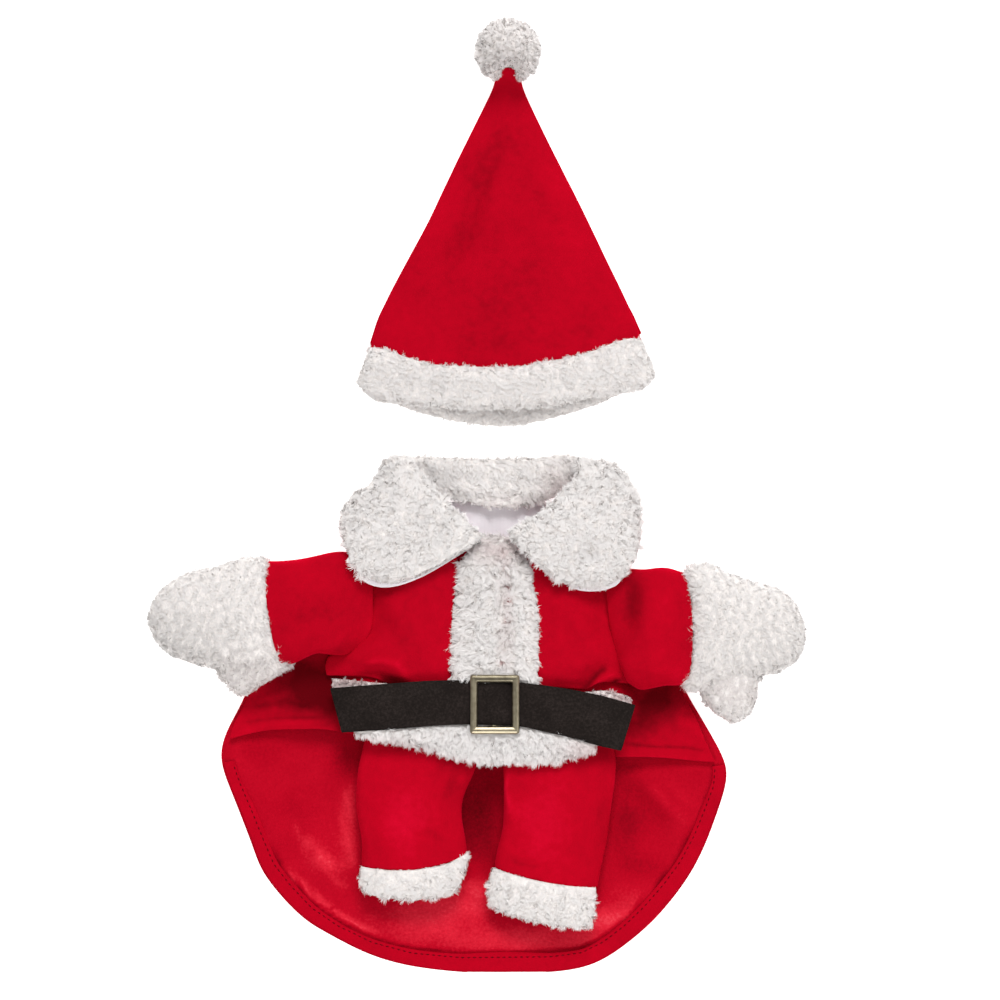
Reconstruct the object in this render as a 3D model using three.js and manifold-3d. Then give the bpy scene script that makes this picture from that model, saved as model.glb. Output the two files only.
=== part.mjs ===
// Dog santa costume, laid flat on its back: a hat above and a coat with mock jacket, stuffed arms
// and leg tubes below. Millimetres, +Z up, the table is z = 0, +Y runs to the tip of the hat.
import * as THREE from "three";
import { mergeVertices } from "three/addons/utils/BufferGeometryUtils.js";
import Module from "manifold-3d";

const wasm = await Module();
wasm.setup();

// Driving sizes
const seamGap = 0.4; // between sewn pieces
const velourWall = 2;
const liningWall = 1;
const boaWall = 5;
const hemInset = 0.6; // the turned hem starts this far inside the back panel's edge
const hemWall = 1.2;
const hemGap = 0.8; // the turned allowance stands a little off the panel
const layGap = 0.5; // between one layer and the next that lies on it
const jacketGap = 0.8;
const beltWall = 1.8;
const buckleWidth = 27.4;
const buckleHeight = 33;
const windowWidth = 18.6;
const windowHeight = 27.4;
const buckleBar = 3;
const centreBarWidth = 4;
const pompomRadius = 18.4;
const pompomClump = 0.9;
const pompomClumps = 5;

// Where the two garments lie in the part's frame
const suitPlace = new THREE.Vector3(10, -116.2, 0); // centre of the buckle
const hatPlace = new THREE.Vector3(16.8, 64.7, 0); // middle of the brim

const cloth = (colour, roughness) =>
  new THREE.MeshStandardMaterial({ color: colour, roughness, metalness: 0 });
const velour = () => cloth(0xc8081c, 0.85);
const boa = () => cloth(0xebe9e6, 0.95);
const lining = () => cloth(0xd9d7e0, 0.6);
const webbing = () => cloth(0x26201e, 0.9);
const metal = () =>
  new THREE.MeshStandardMaterial({ color: 0xaaa08c, roughness: 0.35, metalness: 1 });

// Small helpers for numbers and tables
const mix = (a, b, t) => a + (b - a) * t;
const clamp = (value, low, high) => Math.min(high, Math.max(low, value));
function smooth(from, to, value) {
  const t = clamp((value - from) / (to - from), 0, 1);
  return t * t * (3 - 2 * t);
}
function table(columns, rows) {
  const names = columns.split(" ");
  return rows.map((row) => Object.fromEntries(names.map((name, k) => [name, row[k]])));
}
function curve(a, b, c, d, t) {
  const slopeB = (c - a) / 2;
  const slopeC = (d - b) / 2;
  const t2 = t * t;
  const t3 = t2 * t;
  return (
    (2 * t3 - 3 * t2 + 1) * b +
    (t3 - 2 * t2 + t) * slopeB +
    (3 * t2 - 2 * t3) * c +
    (t3 - t2) * slopeC
  );
}
// One column of a table at share t of its rows, along a smooth curve
function at(rows, column, t) {
  const place = clamp(t, 0, 1) * (rows.length - 1);
  const i = Math.min(Math.floor(place), rows.length - 2);
  const pick = (k) => rows[clamp(k, 0, rows.length - 1)][column] ?? 0;
  return curve(pick(i - 1), pick(i), pick(i + 1), pick(i + 2), place - i);
}
// One column of a table whose first column is a rising position
function along(rows, key, column, position) {
  let i = 0;
  while (i < rows.length - 2 && position > rows[i + 1][key]) i += 1;
  const t = clamp((position - rows[i][key]) / (rows[i + 1][key] - rows[i][key]), 0, 1);
  return mix(rows[i][column], rows[i + 1][column], t * t * (3 - 2 * t) * 0.5 + t * 0.5);
}
// Height of a table of soft folds, each a ridge between two points, low at both ends
function foldHeight(folds, x, y) {
  let height = 0;
  for (const fold of folds) {
    const dx = fold.toX - fold.fromX;
    const dy = fold.toY - fold.fromY;
    const length = Math.hypot(dx, dy);
    const run = ((x - fold.fromX) * dx + (y - fold.fromY) * dy) / length;
    const off = ((x - fold.fromX) * dy - (y - fold.fromY) * dx) / length;
    const body = smooth(-fold.width, fold.width, run) * smooth(-fold.width, fold.width, length - run);
    height += fold.height * body * Math.exp(-((off / fold.width) ** 2));
  }
  return height;
}
// Share of the full thickness near an edge, so that a thick piece rounds off
function rim(share, reach) {
  const s = clamp(Math.min(share, 1 - share) / reach, 0, 1);
  return Math.sqrt(1 - (1 - s) ** 2);
}
// Steps that crowd towards both ends
const crowd = (t, amount) => mix(t, 0.5 - 0.5 * Math.cos(Math.PI * t), amount);

// Moves every vertex of a plain form and closes it
function shaped(geometry, place) {
  geometry.deleteAttribute("normal");
  geometry.deleteAttribute("uv");
  const merged = mergeVertices(geometry, 1e-4);
  const points = merged.attributes.position;
  const point = new THREE.Vector3();
  for (let i = 0; i < points.count; i += 1) {
    point.fromBufferAttribute(points, i);
    const [x, y, z] = place(point);
    points.setXYZ(i, x, y, z);
  }
  return merged;
}
// A flat wall: u runs 0..1 across, v 0..1 along, w is 0 on its lower and 1 on its upper face
function wall(across, length, place) {
  const box = new THREE.BoxGeometry(1, 1, 1, across, length, 1);
  return shaped(box, (p) => place(p.x + 0.5, p.y + 0.5, p.z + 0.5));
}
// A tube with a wall: angle 0..2 pi round it, v 0..1 along, inner 0 outside and 1 inside
function tube(around, length, place) {
  const profile = [];
  for (let i = 0; i <= length; i += 1) profile.push(new THREE.Vector2(2, i / length));
  for (let i = length; i >= 0; i -= 1) profile.push(new THREE.Vector2(1, i / length));
  profile.push(new THREE.Vector2(2, 0));
  const lathe = new THREE.LatheGeometry(profile, around);
  return shaped(lathe, (p) => place(Math.atan2(p.z, p.x), p.y, Math.round(2 - Math.hypot(p.x, p.z))));
}
// A closed stuffed form: angle round it, v 0..1 from one end to the other
function stuffed(around, length, place) {
  const profile = [new THREE.Vector2(0, 0)];
  for (let i = 0; i <= length; i += 1) profile.push(new THREE.Vector2(1, i / length));
  profile.push(new THREE.Vector2(0, 1));
  const lathe = new THREE.LatheGeometry(profile, around);
  return shaped(lathe, (p) => place(Math.atan2(p.z, p.x), p.y, Math.hypot(p.x, p.z)));
}
// Point of a row between its two edge points, bent by its bow
function rowPoint(rows, u, v) {
  const ax = at(rows, "leftX", v);
  const ay = at(rows, "leftY", v);
  const bx = at(rows, "rightX", v);
  const by = at(rows, "rightY", v);
  const bow = at(rows, "bow", v) * 4 * u * (1 - u);
  const width = Math.hypot(bx - ax, by - ay) || 1;
  return [
    mix(ax, bx, u) - (bow * (by - ay)) / width,
    mix(ay, by, u) + (bow * (bx - ax)) / width,
  ];
}
// Cloth laid over what is below it: rows give its outline, under and thick its two faces
function laid(rows, across, length, under, thick, crowding = 0.4) {
  return wall(across, length, (u, v, w) => {
    const a = crowd(u, crowding);
    const [x, y] = rowPoint(rows, a, 1 - v);
    const low = under(x, y, a, 1 - v);
    return [x, y, low + w * thick(x, y, a, 1 - v)];
  });
}
// Ring of a stuffed piece or a tube: flatter below, rounder above
function ringPoint(rows, angle, v, inset) {
  const c = Math.cos(angle);
  const s = Math.sin(angle);
  const u = 0.5 + 0.5 * Math.sign(c) * Math.abs(c) ** 0.8;
  const [outX, outY] = rowPoint(rows, u, v);
  const [midX, midY] = rowPoint(rows, 0.5, v);
  const low = at(rows, "low", v);
  const high = at(rows, "high", v);
  const half = (high - low) / 2;
  const rise = Math.sign(s) * Math.abs(s) ** (s > 0 ? 0.8 : 0.55);
  const [leftX, leftY] = rowPoint(rows, 0, v);
  const [rightX, rightY] = rowPoint(rows, 1, v);
  const shrink = 1 - (2 * inset) / Math.hypot(rightX - leftX, rightY - leftY);
  return [
    mix(midX, outX, shrink),
    mix(midY, outY, shrink),
    Math.max(0, (low + high) / 2 + rise * (half - inset)),
  ];
}
const stuffedRows = (rows, around, length) =>
  stuffed(around, length, (angle, v, out) => {
    const [x, y, z] = ringPoint(rows, angle, v, 0);
    const [midX, midY] = rowPoint(rows, 0.5, v);
    const midZ = (at(rows, "low", v) + at(rows, "high", v)) / 2;
    return [mix(midX, x, out), mix(midY, y, out), mix(midZ, z, out)];
  });
const tubeRows = (rows, around, length, thickness) =>
  tube(around, length, (angle, v, inner) => ringPoint(rows, angle, v, inner * thickness));

const turned = (geometry) => {
  const index = geometry.index.array;
  for (let i = 0; i < index.length; i += 3) {
    const keep = index[i];
    index[i] = index[i + 2];
    index[i + 2] = keep;
  }
  return geometry;
};
function volumeOf(geometry) {
  const p = geometry.attributes.position;
  const index = geometry.index.array;
  const a = new THREE.Vector3();
  const b = new THREE.Vector3();
  const c = new THREE.Vector3();
  let sum = 0;
  for (let i = 0; i < index.length; i += 3) {
    a.fromBufferAttribute(p, index[i]);
    b.fromBufferAttribute(p, index[i + 1]);
    c.fromBufferAttribute(p, index[i + 2]);
    sum += a.dot(b.cross(c));
  }
  return sum / 6;
}
const outward = (geometry) => (volumeOf(geometry) < 0 ? turned(geometry) : geometry);

function solidOf(geometry) {
  const merged = outward(mergeVertices(geometry, 1e-4));
  return new wasm.Manifold(
    new wasm.Mesh({
      numProp: 3,
      vertProperties: merged.attributes.position.array,
      triVerts: new Uint32Array(merged.index.array),
    }),
  );
}
function joined(...geometries) {
  const whole = geometries.map(solidOf).reduce((sum, next) => sum.add(next));
  const made = whole.getMesh();
  return new THREE.BufferGeometry()
    .setAttribute("position", new THREE.BufferAttribute(made.vertProperties, 3))
    .setIndex(new THREE.BufferAttribute(made.triVerts, 1));
}

const suit = new THREE.Group();
suit.name = "suit";
suit.position.copy(suitPlace);
const hat = new THREE.Group();
hat.name = "hat";
hat.position.copy(hatPlace);
function add(group, name, geometry, material) {
  const mesh = new THREE.Mesh(outward(geometry), material);
  mesh.name = name;
  group.add(mesh);
}

// ---- coat: back panel, wrong side up, with its turned hem ----
const backRows = table("leftX leftY rightX rightY", [
  [-49, 111, 52, 111],
  [-58, 91, 57, 91],
  [-78, 69, 67, 69],
  [-104, 52, 81, 51],
  [-123, 35, 92, 32],
  [-134, 18.5, 101, 17],
  [-140, 3, 108, 4],
  [-146.5, -9.5, 115, -8],
  [-152, -22, 123, -22],
  [-152.5, -34, 129, -35],
  [-148, -48, 128.5, -48],
  [-142, -63, 124, -62],
  [-136, -79, 118.5, -77],
  [-130, -94, 110.5, -93.5],
  [-120, -107.5, 101, -107.5],
  [-107, -120.5, 89.5, -121],
  [-91, -130.5, 77.5, -132],
  [-71, -140.5, 65, -141],
  [-48, -147.5, 51, -148],
  [-19.5, -151, 32, -151],
]);
const backFolds = table("fromX fromY toX toY height width", [
  [82, -52, 112, -82, 3, 12],
  [62, -84, 92, -112, 2, 12],
  [-122, -58, -98, -104, 1.8, 12],
  [-72, -122, 0, -134, 1.2, 12],
]);
const backUnder = (x, y) => foldHeight(backFolds, x, y);
const backTop = (x, y) => backUnder(x, y) + velourWall;
add(suit, "back_panel", laid(backRows, 14, 25, backUnder, () => velourWall, 0.2), velour());

// The outline from the left side corner round the bottom to the right side corner
const hemFrom = 9 / (backRows.length - 1);
const hemSpan = 1 - hemFrom;
const bottomShare = 0.1;
function hemLine(s) {
  const side = (1 - bottomShare) / 2;
  if (s < side) return rowPoint(backRows, 0, hemFrom + (hemSpan * s) / side);
  if (s > 1 - side) return rowPoint(backRows, 1, hemFrom + (hemSpan * (1 - s)) / side);
  return rowPoint(backRows, (s - side) / bottomShare, 1);
}
const hemWaves = table("s width", [
  [0, 6],
  [0.12, 8.4],
  [0.24, 9],
  [0.33, 7.2],
  [0.41, 8.8],
  [0.5, 10.5],
  [0.62, 9.2],
  [0.74, 10.4],
  [0.87, 8.6],
  [1, 6.4],
]);
const hemSteps = 36;
add(
  suit,
  "back_hem",
  wall(2, hemSteps, (u, v, w) => {
    const [x, y] = hemLine(v);
    const [ax, ay] = hemLine(Math.max(0, v - 0.012));
    const [bx, by] = hemLine(Math.min(1, v + 0.012));
    const length = Math.hypot(bx - ax, by - ay);
    const width = hemInset + along(hemWaves, "s", "width", v) * u;
    const px = x - ((by - ay) / length) * width;
    const py = y + ((bx - ax) / length) * width;
    return [px, py, backTop(px, py) + hemGap + w * hemWall * (u > 0.9 ? 0.7 : 1)];
  }),
  velour(),
);

// ---- coat: chest panel over the back panel, a hollow between them ----
const crownRows = table("y height shoulder foot middle", [
  [-40, 6, 70, 140, -12],
  [-20, 6.4, 70, 138, -14],
  [0, 8, 62, 112, -10],
  [20, 8.6, 52, 92, -4],
  [50, 8.6, 44, 80, -3],
  [80, 8.4, 40, 74, -2],
  [100, 7, 36, 66, 0],
  [115, 4, 34, 60, 0],
]);
const layLevel = velourWall + 0.6;
function crown(x, y) {
  const height = along(crownRows, "y", "height", y);
  const shoulder = along(crownRows, "y", "shoulder", y);
  const foot = along(crownRows, "y", "foot", y);
  const middle = along(crownRows, "y", "middle", y);
  return height * (1 - smooth(shoulder, foot, Math.abs(x - middle)));
}
const chestRows = table("leftX leftY rightX rightY", [
  [-56, 88, 54, 88],
  [-75, 68, 64, 68],
  [-101, 51, 78, 50],
  [-120, 34.5, 89, 31.5],
  [-131.5, 18, 98, 17],
  [-138, 3, 105, 4],
  [-144.5, -9, 112.5, -9],
  [-147, -15, 117, -20],
  [-148, -20, 123, -33],
]);
const chestHem = table("x rise", [
  [-148, 0],
  [-128, 6],
  [-96, 8],
  [-50, 2],
  [0, -1],
  [50, 0],
  [90, 1.5],
  [123, 0],
]);
const chestUnder = (x, y) => layLevel + crown(x, y);
const chestTop = (x, y) => chestUnder(x, y) + velourWall;
const hemDouble = (v) => 1 + 0.4 * smooth(0.9, 0.94, v);
add(
  suit,
  "chest_panel",
  wall(18, 12, (u, v, w) => {
    const down = 1 - v;
    const [x, flatY] = rowPoint(chestRows, crowd(u, 0.3), down);
    const y = flatY + along(chestHem, "x", "rise", x) * down ** 4;
    return [x, y, chestUnder(x, y) + w * velourWall * hemDouble(down)];
  }),
  velour(),
);

// ---- neck: smooth lining on the back panel, boa collar at the back ----
const liningRows = table("leftX leftY rightX rightY", [
  [-42, 112.5, 46, 112.5],
  [-46, 98, 47, 98],
  [-48, 86, 48, 86],
  [-48, 74, 48, 74],
]);
add(
  suit,
  "neck_lining",
  laid(liningRows, 6, 4, (x, y) => backTop(x, y) + seamGap, () => liningWall),
  lining(),
);

// The back collar is one strip: it lies on the table, turns at the top and comes down over the neck seam
const collarFold = table("x top seam", [
  [-60, 137, 122],
  [-45, 139.5, 118],
  [-24, 138, 113],
  [0, 137.5, 108.5],
  [20, 138, 109.5],
  [40, 140, 117],
  [58, 137, 121],
]);
const collarWall = 4.6;
const collarTurn = 3; // radius of the turn, to the middle of the wall
add(
  suit,
  "collar_back",
  wall(12, 15, (u, v, w) => {
    const x = mix(-60, 57, u);
    const top = along(collarFold, "x", "top", x) - collarTurn - collarWall / 2;
    const seam = along(collarFold, "x", "seam", x);
    const fall = 115.5;
    const end = smooth(0, 0.08, Math.min(u, 1 - u));
    const half = (collarWall / 2) * (0.55 + 0.45 * rim(v, 0.08) * end);
    const off = (w - 0.5) * 2 * half;
    const bottomZ = collarWall / 2 + 0.05;
    const topZ = bottomZ + 2 * collarTurn;
    if (v < 0.38) return [x, mix(fall, top, v / 0.38), bottomZ - off];
    if (v > 0.58) return [x, mix(top, seam, (v - 0.58) / 0.42), topZ + off];
    const angle = (Math.PI * (v - 0.38)) / 0.2;
    const radius = collarTurn + off;
    return [x, top + radius * Math.sin(angle), bottomZ + collarTurn - radius * Math.cos(angle)];
  }),
  boa(),
);

// ---- mock jacket ----
const jacketLeftRows = table("leftX leftY rightX rightY puff", [
  [-60, 101, -38, 112, 0],
  [-65, 87, -26, 99, 0.8],
  [-67, 75, -21.5, 86, 0.8],
  [-67.5, 63, -22.5, 73, 1.8],
  [-68, 52, -24.5, 61, 2.4],
  [-69.5, 40, -26, 47, 3],
  [-78, 28.5, -26, 33, 3],
  [-93, 23, -26, 22, 2.6],
  [-94, 17, -26, 15.5, 1],
]);
const jacketRightRows = table("leftX leftY rightX rightY puff", [
  [38, 112, 57, 101, 0],
  [27, 99, 61, 87, 0.8],
  [20.5, 86, 61.5, 74, 0.8],
  [20.5, 75, 61.5, 62, 1.8],
  [25, 60, 62, 51, 2.4],
  [26.5, 46, 64.5, 39, 3],
  [26.5, 31, 68.5, 27, 3],
  [26, 21, 72, 17, 2.6],
  [25.5, 15, 75.5, 10.5, 1],
]);
const jacketFolds = table("fromX fromY toX toY height width", [
  [-62, 60, -40, 32, 1.2, 5],
  [-84, 22, -46, 28, 1.3, 4],
  [-34, 70, -31, 30, 1, 4],
  [34, 64, 56, 34, 1.2, 5],
  [40, 22, 66, 30, 1.2, 4],
]);
function jacket(rows) {
  const lift = (u, v) => at(rows, "puff", v) * rim(u, 0.5) * rim(v, 0.3);
  return laid(
    rows,
    8,
    12,
    (x, y, u, v) => chestTop(x, y) + jacketGap + lift(u, v) + foldHeight(jacketFolds, x, y) * rim(u, 0.4),
    () => velourWall,
  );
}
add(suit, "jacket_left", jacket(jacketLeftRows), velour());
add(suit, "jacket_right", jacket(jacketRightRows), velour());

const placketRows = table("leftX leftY rightX rightY", [
  [-4, 94, 5, 94],
  [-13, 88, 12, 87.5],
  [-19.5, 80, 18, 79],
  [-21.5, 67, 22, 67],
  [-23.5, 53, 24, 54],
  [-24.6, 40, 25, 41],
  [-24.6, 28, 24.6, 28],
  [-24.4, 15.5, 24, 15.5],
]);
const parting = (x) => Math.exp(-(((x + 2.5) / 3) ** 2));
const placketThick = 6.4;
add(
  suit,
  "placket",
  laid(
    placketRows,
    8,
    10,
    (x, y) => chestTop(x, y) + layGap,
    (x, y, u, v) => placketThick * (0.35 + 0.65 * rim(u, 0.25) * rim(v, 0.1)) - 2 * parting(x),
  ),
  boa(),
);

// ---- collar wings, draped over the shoulders, each with its smooth lining below ----
const wingLeftRows = table("leftX leftY rightX rightY leftZ midZ rightZ", [
  [-63, 136, -50, 138, 11, 12.4, 12.8],
  [-67.5, 123, -45, 133, 8, 13.6, 14.6],
  [-80, 116, -40, 127.5, 6, 15, 16.6],
  [-87.5, 103, -34, 121.5, 8, 17, 18],
  [-84.5, 89, -28, 115.5, 19.5, 20, 19],
  [-78, 75, -22, 109.5, 22.5, 21, 20],
  [-62, 66, -16, 103.5, 20.6, 21.4, 21],
  [-41, 71, -11.5, 99, 20.8, 21.6, 21.8],
  [-25, 80, -7.5, 96, 22.2, 22.2, 22],
  [-9, 90, -4, 94, 22.4, 22.2, 22],
]);
const wingRightRows = table("leftX leftY rightX rightY leftZ midZ rightZ", [
  [46, 138, 57, 136, 12.8, 12.4, 11],
  [45.5, 131.5, 69, 132, 14.6, 13.6, 8],
  [44, 126, 77, 122, 16.4, 15, 6],
  [40, 121.5, 82, 110, 17.6, 16, 7],
  [35.5, 117, 82, 97, 18.2, 18, 11],
  [30.5, 112.5, 80, 83, 19.2, 20.6, 20.5],
  [25, 108, 72.5, 71, 20, 21.4, 21.8],
  [19.5, 104.5, 57, 64, 21, 21.6, 20.8],
  [14.5, 101.5, 39, 66.5, 21.8, 21.8, 21],
  [10, 98.5, 25, 76, 22, 22.2, 22.2],
  [6.5, 95.5, 11, 89, 22, 22.2, 22.4],
]);
function wingHeight(rows, u, v) {
  const a = at(rows, "leftZ", v);
  const m = at(rows, "midZ", v);
  const b = at(rows, "rightZ", v);
  return a * (1 - u) * (1 - 2 * u) + m * 4 * u * (1 - u) + b * u * (2 * u - 1);
}
const wingThick = 5.6;
const liningDrop = 2.3;
const liningThin = 0.8;
const wing = (rows) =>
  laid(
    rows,
    8,
    13,
    (x, y, u, v) => wingHeight(rows, u, v),
    (x, y, u, v) => wingThick * (0.4 + 0.6 * rim(u, 0.2) * rim(v, 0.12)),
  );
// The lining shows past the outer edge and stops short of the neck
const wingLining = (rows, fromU, toU) =>
  wall(6, 9, (u, v, w) => {
    const a = mix(fromU, toU, u);
    const b = mix(0.94, 0.12, v);
    const [x, y] = rowPoint(rows, a, b);
    return [x, y, wingHeight(rows, a, b) - liningDrop + w * liningThin];
  });
add(suit, "collar_left", wing(wingLeftRows), boa());
add(suit, "collar_right", wing(wingRightRows), boa());
add(suit, "collar_lining_left", wingLining(wingLeftRows, -0.03, 0.9), lining());
add(suit, "collar_lining_right", wingLining(wingRightRows, 0.1, 1.03), lining());

// ---- stuffed arms and hands ----
const sleeveLeftRows = table("leftX leftY rightX rightY bow low high", [
  [-70.2, 40, -69.5, 76, 0, 9, 15.5],
  [-80.5, 28.5, -75, 82, 0, 7, 18.5],
  [-90, 27, -86, 85, 0, 6, 23],
  [-99, 28, -98, 83, 0, 5.4, 25],
  [-106.5, 25, -108.5, 80.8, 1, 5.4, 26],
  [-113.5, 22, -118.5, 79.8, 2, 5.4, 25.5],
  [-119, 21.5, -127, 79.4, 3, 5.4, 23],
]);
const sleeveRightRows = table("leftX leftY rightX rightY bow low high", [
  [63.2, 70, 66, 42, 0, 9, 15.5],
  [68, 76.5, 71.5, 22, 0, 7, 18.5],
  [75.5, 75.5, 78, 12, 0, 6, 23],
  [84, 75, 86.5, 9, 1, 5.4, 25.5],
  [92.5, 76, 95, 10, 2, 5.4, 26],
  [100, 75, 101.5, 10, 3, 5.4, 25.5],
  [105.5, 72, 106.5, 10.5, 4, 5.4, 23],
]);
add(suit, "sleeve_left", stuffedRows(sleeveLeftRows, 16, 10), velour());
add(suit, "sleeve_right", stuffedRows(sleeveRightRows, 16, 10), velour());

const handLeftRows = table("leftX leftY rightX rightY bow low high", [
  [-119.5, 21.5, -127.5, 79.4, 3, 5.6, 23],
  [-130.5, 19, -136, 81, 2, 5.4, 26],
  [-140.5, 17, -144, 80, 1, 4.6, 27],
  [-151, 17, -153, 78.2, 0, 1.4, 26.5],
  [-162, 19.5, -162.5, 76.2, 0, 0.2, 26],
  [-172, 22.2, -171, 74.5, 0, 0, 25],
  [-182, 26.5, -181.5, 69, 0, 0, 23],
  [-190, 33.5, -190, 61.5, 0, 1.5, 19],
  [-194.6, 44, -194.6, 51, 0, 6, 13],
]);
const thumbLeftRows = table("leftX leftY rightX rightY bow low high", [
  [-150, 30, -124, 30, 0, 6.5, 22],
  [-158, 18.5, -119, 20, 0, 5.4, 22],
  [-153.5, 13, -122, 14.5, 0, 5.4, 21],
  [-149, 7, -131, 9, 0, 5.6, 18.5],
  [-143.5, 3.4, -137.5, 3.6, 0, 8.5, 14],
]);
const handRightRows = table("leftX leftY rightX rightY bow low high", [
  [106, 72.4, 107, 9.8, 4, 5.6, 23],
  [115, 77.5, 117, 6, 2.5, 4, 26],
  [123.5, 76, 126, 7.5, 1, 1, 27],
  [132.5, 73.2, 136, 11, 0, 0, 27],
  [142.5, 70, 146.5, 13.8, 0, 0, 26.5],
  [153, 67, 156, 15.5, 0, 0, 25.5],
  [163, 63, 165, 19.8, 0, 0, 23.5],
  [170.5, 53.5, 171.5, 26, 0, 1.5, 19],
  [174.6, 43, 174.6, 35, 0, 6, 13],
]);
const thumbRightRows = table("leftX leftY rightX rightY bow low high", [
  [118, 24, 144, 26, 0, 2, 22],
  [114.5, 10, 149, 14, 0, 2, 22.5],
  [115.5, 2.5, 147.6, 5, 0, 1, 22],
  [120.5, -4, 146, -2, 0, 0.3, 20],
  [127.5, -9.6, 141.5, -8.6, 0, 2, 16.5],
  [132, -11.9, 137, -11.6, 0, 6, 11.5],
]);
const mitt = (hand, thumb) => joined(stuffedRows(hand, 16, 11), stuffedRows(thumb, 12, 5));
add(suit, "mitt_left", mitt(handLeftRows, thumbLeftRows), boa());
add(suit, "mitt_right", mitt(handRightRows, thumbRightRows), boa());

// ---- leg tubes with boa cuffs, lying on the back panel ----
const legLeftRows = table("leftX leftY rightX rightY bow low high", [
  [-71, -7, -8, -12, 0, 12.6, 16.4],
  [-72, -16, -8.5, -21, 0, 12, 16.8],
  [-74, -26, -9.5, -31, 0, 12.6, 17.4],
  [-76.5, -38, -13, -42, -1, 8.4, 17.8],
  [-77.5, -50, -17.5, -52, -2, 4, 17.4],
  [-77, -63, -18.5, -64, -3, 3.2, 17],
  [-74.5, -76, -16.5, -75, -4, 3.2, 17],
  [-74.4, -88.8, -15.5, -83, -4.6, 3.4, 16.6],
]);
const legRightRows = table("leftX leftY rightX rightY bow low high", [
  [3, -12, 62, -9, 0, 12.6, 16.4],
  [3.5, -21, 64, -18, 0, 12, 16.8],
  [4.5, -31, 67, -28, 0, 12.6, 17.4],
  [5, -44, 67.4, -41, -1, 8.4, 17.8],
  [5, -57, 65.4, -55, -2, 4, 17.4],
  [4.4, -70, 63.2, -73, -2.4, 3.2, 17],
  [1.8, -80, 60.5, -87, -2.4, 3.2, 17],
  [0, -89.6, 57.4, -100.6, -2.4, 3.4, 16.6],
]);
add(suit, "leg_left", tubeRows(legLeftRows, 16, 10, velourWall), velour());
add(suit, "leg_right", tubeRows(legRightRows, 16, 10, velourWall), velour());

const cuffLeftRows = table("leftX leftY rightX rightY bow low high", [
  [-75.6, -90, -14, -84.2, -4.6, 3, 17.6],
  [-77, -94, -13.2, -88, -4.4, 2.7, 19.6],
  [-77, -100, -16.6, -97, -3.6, 2.7, 20],
  [-75.6, -105.6, -19.6, -105, -3.2, 2.7, 19.6],
  [-73.5, -109.6, -23, -110.4, -3, 3, 17.6],
]);
const cuffRightRows = table("leftX leftY rightX rightY bow low high", [
  [-1.5, -90.6, 57.6, -101.8, -2.4, 3, 17.6],
  [-3.8, -95, 58, -106, -2.6, 2.7, 19.6],
  [-5, -101, 57.4, -112.5, -3, 2.7, 20],
  [-5.4, -107.6, 56.6, -120, -2.8, 2.7, 19.6],
  [-4, -113.6, 54.8, -126, -3.4, 3, 17.6],
]);
add(suit, "cuff_left", tubeRows(cuffLeftRows, 16, 5, boaWall), boa());
add(suit, "cuff_right", tubeRows(cuffRightRows, 16, 5, boaWall), boa());

// ---- boa hem band of the jacket, belt and buckle ----
const bandRows = table("leftX leftY rightX rightY", [
  [-92, 14.5, -83, -15.5],
  [-76, 13, -70, -19],
  [-58, 11.8, -55, -21.4],
  [-40, 12.8, -40, -24.6],
  [-22, 13.6, -23, -29.4],
  [-3, 13.4, -6, -33.4],
  [14, 12, 13, -32.2],
  [32, 9.8, 30, -32.6],
  [48, 7, 45, -29],
  [64, 7.6, 57, -24],
  [77, 3.4, 66.5, -20.5],
]);
const bandThick = 5;
const coverRows = table("y cover", [
  [-34, 8.4],
  [-14, 5.8],
  [14, 0],
]);
const legCover = (x, y) => along(coverRows, "y", "cover", y) * (1 - smooth(70, 88, Math.abs(x + 3)));
const bandUnder = (x, y) => chestTop(x, y) + layGap + legCover(x, y);
const bandShare = (u, v) => 0.45 + 0.55 * rim(u, 0.22) * rim(v, 0.06);
const bandTop = (x, y) => bandUnder(x, y) + bandThick;
add(
  suit,
  "hem_band",
  laid(bandRows, 8, 18, bandUnder, (x, y, u, v) => bandThick * bandShare(u, v)),
  boa(),
);

const beltRows = table("leftX leftY rightX rightY", [
  [-92, 8.4, -85.5, -16],
  [-76, 9.8, -72, -15],
  [-58, 11.2, -57, -14],
  [-38, 12.6, -38, -12.4],
  [-19, 13, -19, -11.4],
  [0, 12.6, 0, -11.6],
  [15, 11.6, 14, -12.4],
  [30, 9.8, 28, -15.4],
  [45, 7.4, 42, -18.6],
  [61, 4, 56.5, -22.8],
  [78.5, -1, 70.5, -26],
]);
const beltLift = 1.3;
const barRise = (x) => 1.6 * (1 - smooth(3, 7, Math.abs(x)));
const endDrop = (v) => 1.2 * smooth(0.92, 1, Math.abs(2 * v - 1));
const beltUnder = (x, y, u, v) => bandTop(x, y) + beltLift + barRise(x) - endDrop(v);
add(suit, "belt", laid(beltRows, 4, 28, beltUnder, () => beltWall, 0), webbing());

const barLevel = 0.7; // heights over the band's top
const barWall = 1.4;
const frameLevel = beltLift + beltWall + 0.7;

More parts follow.
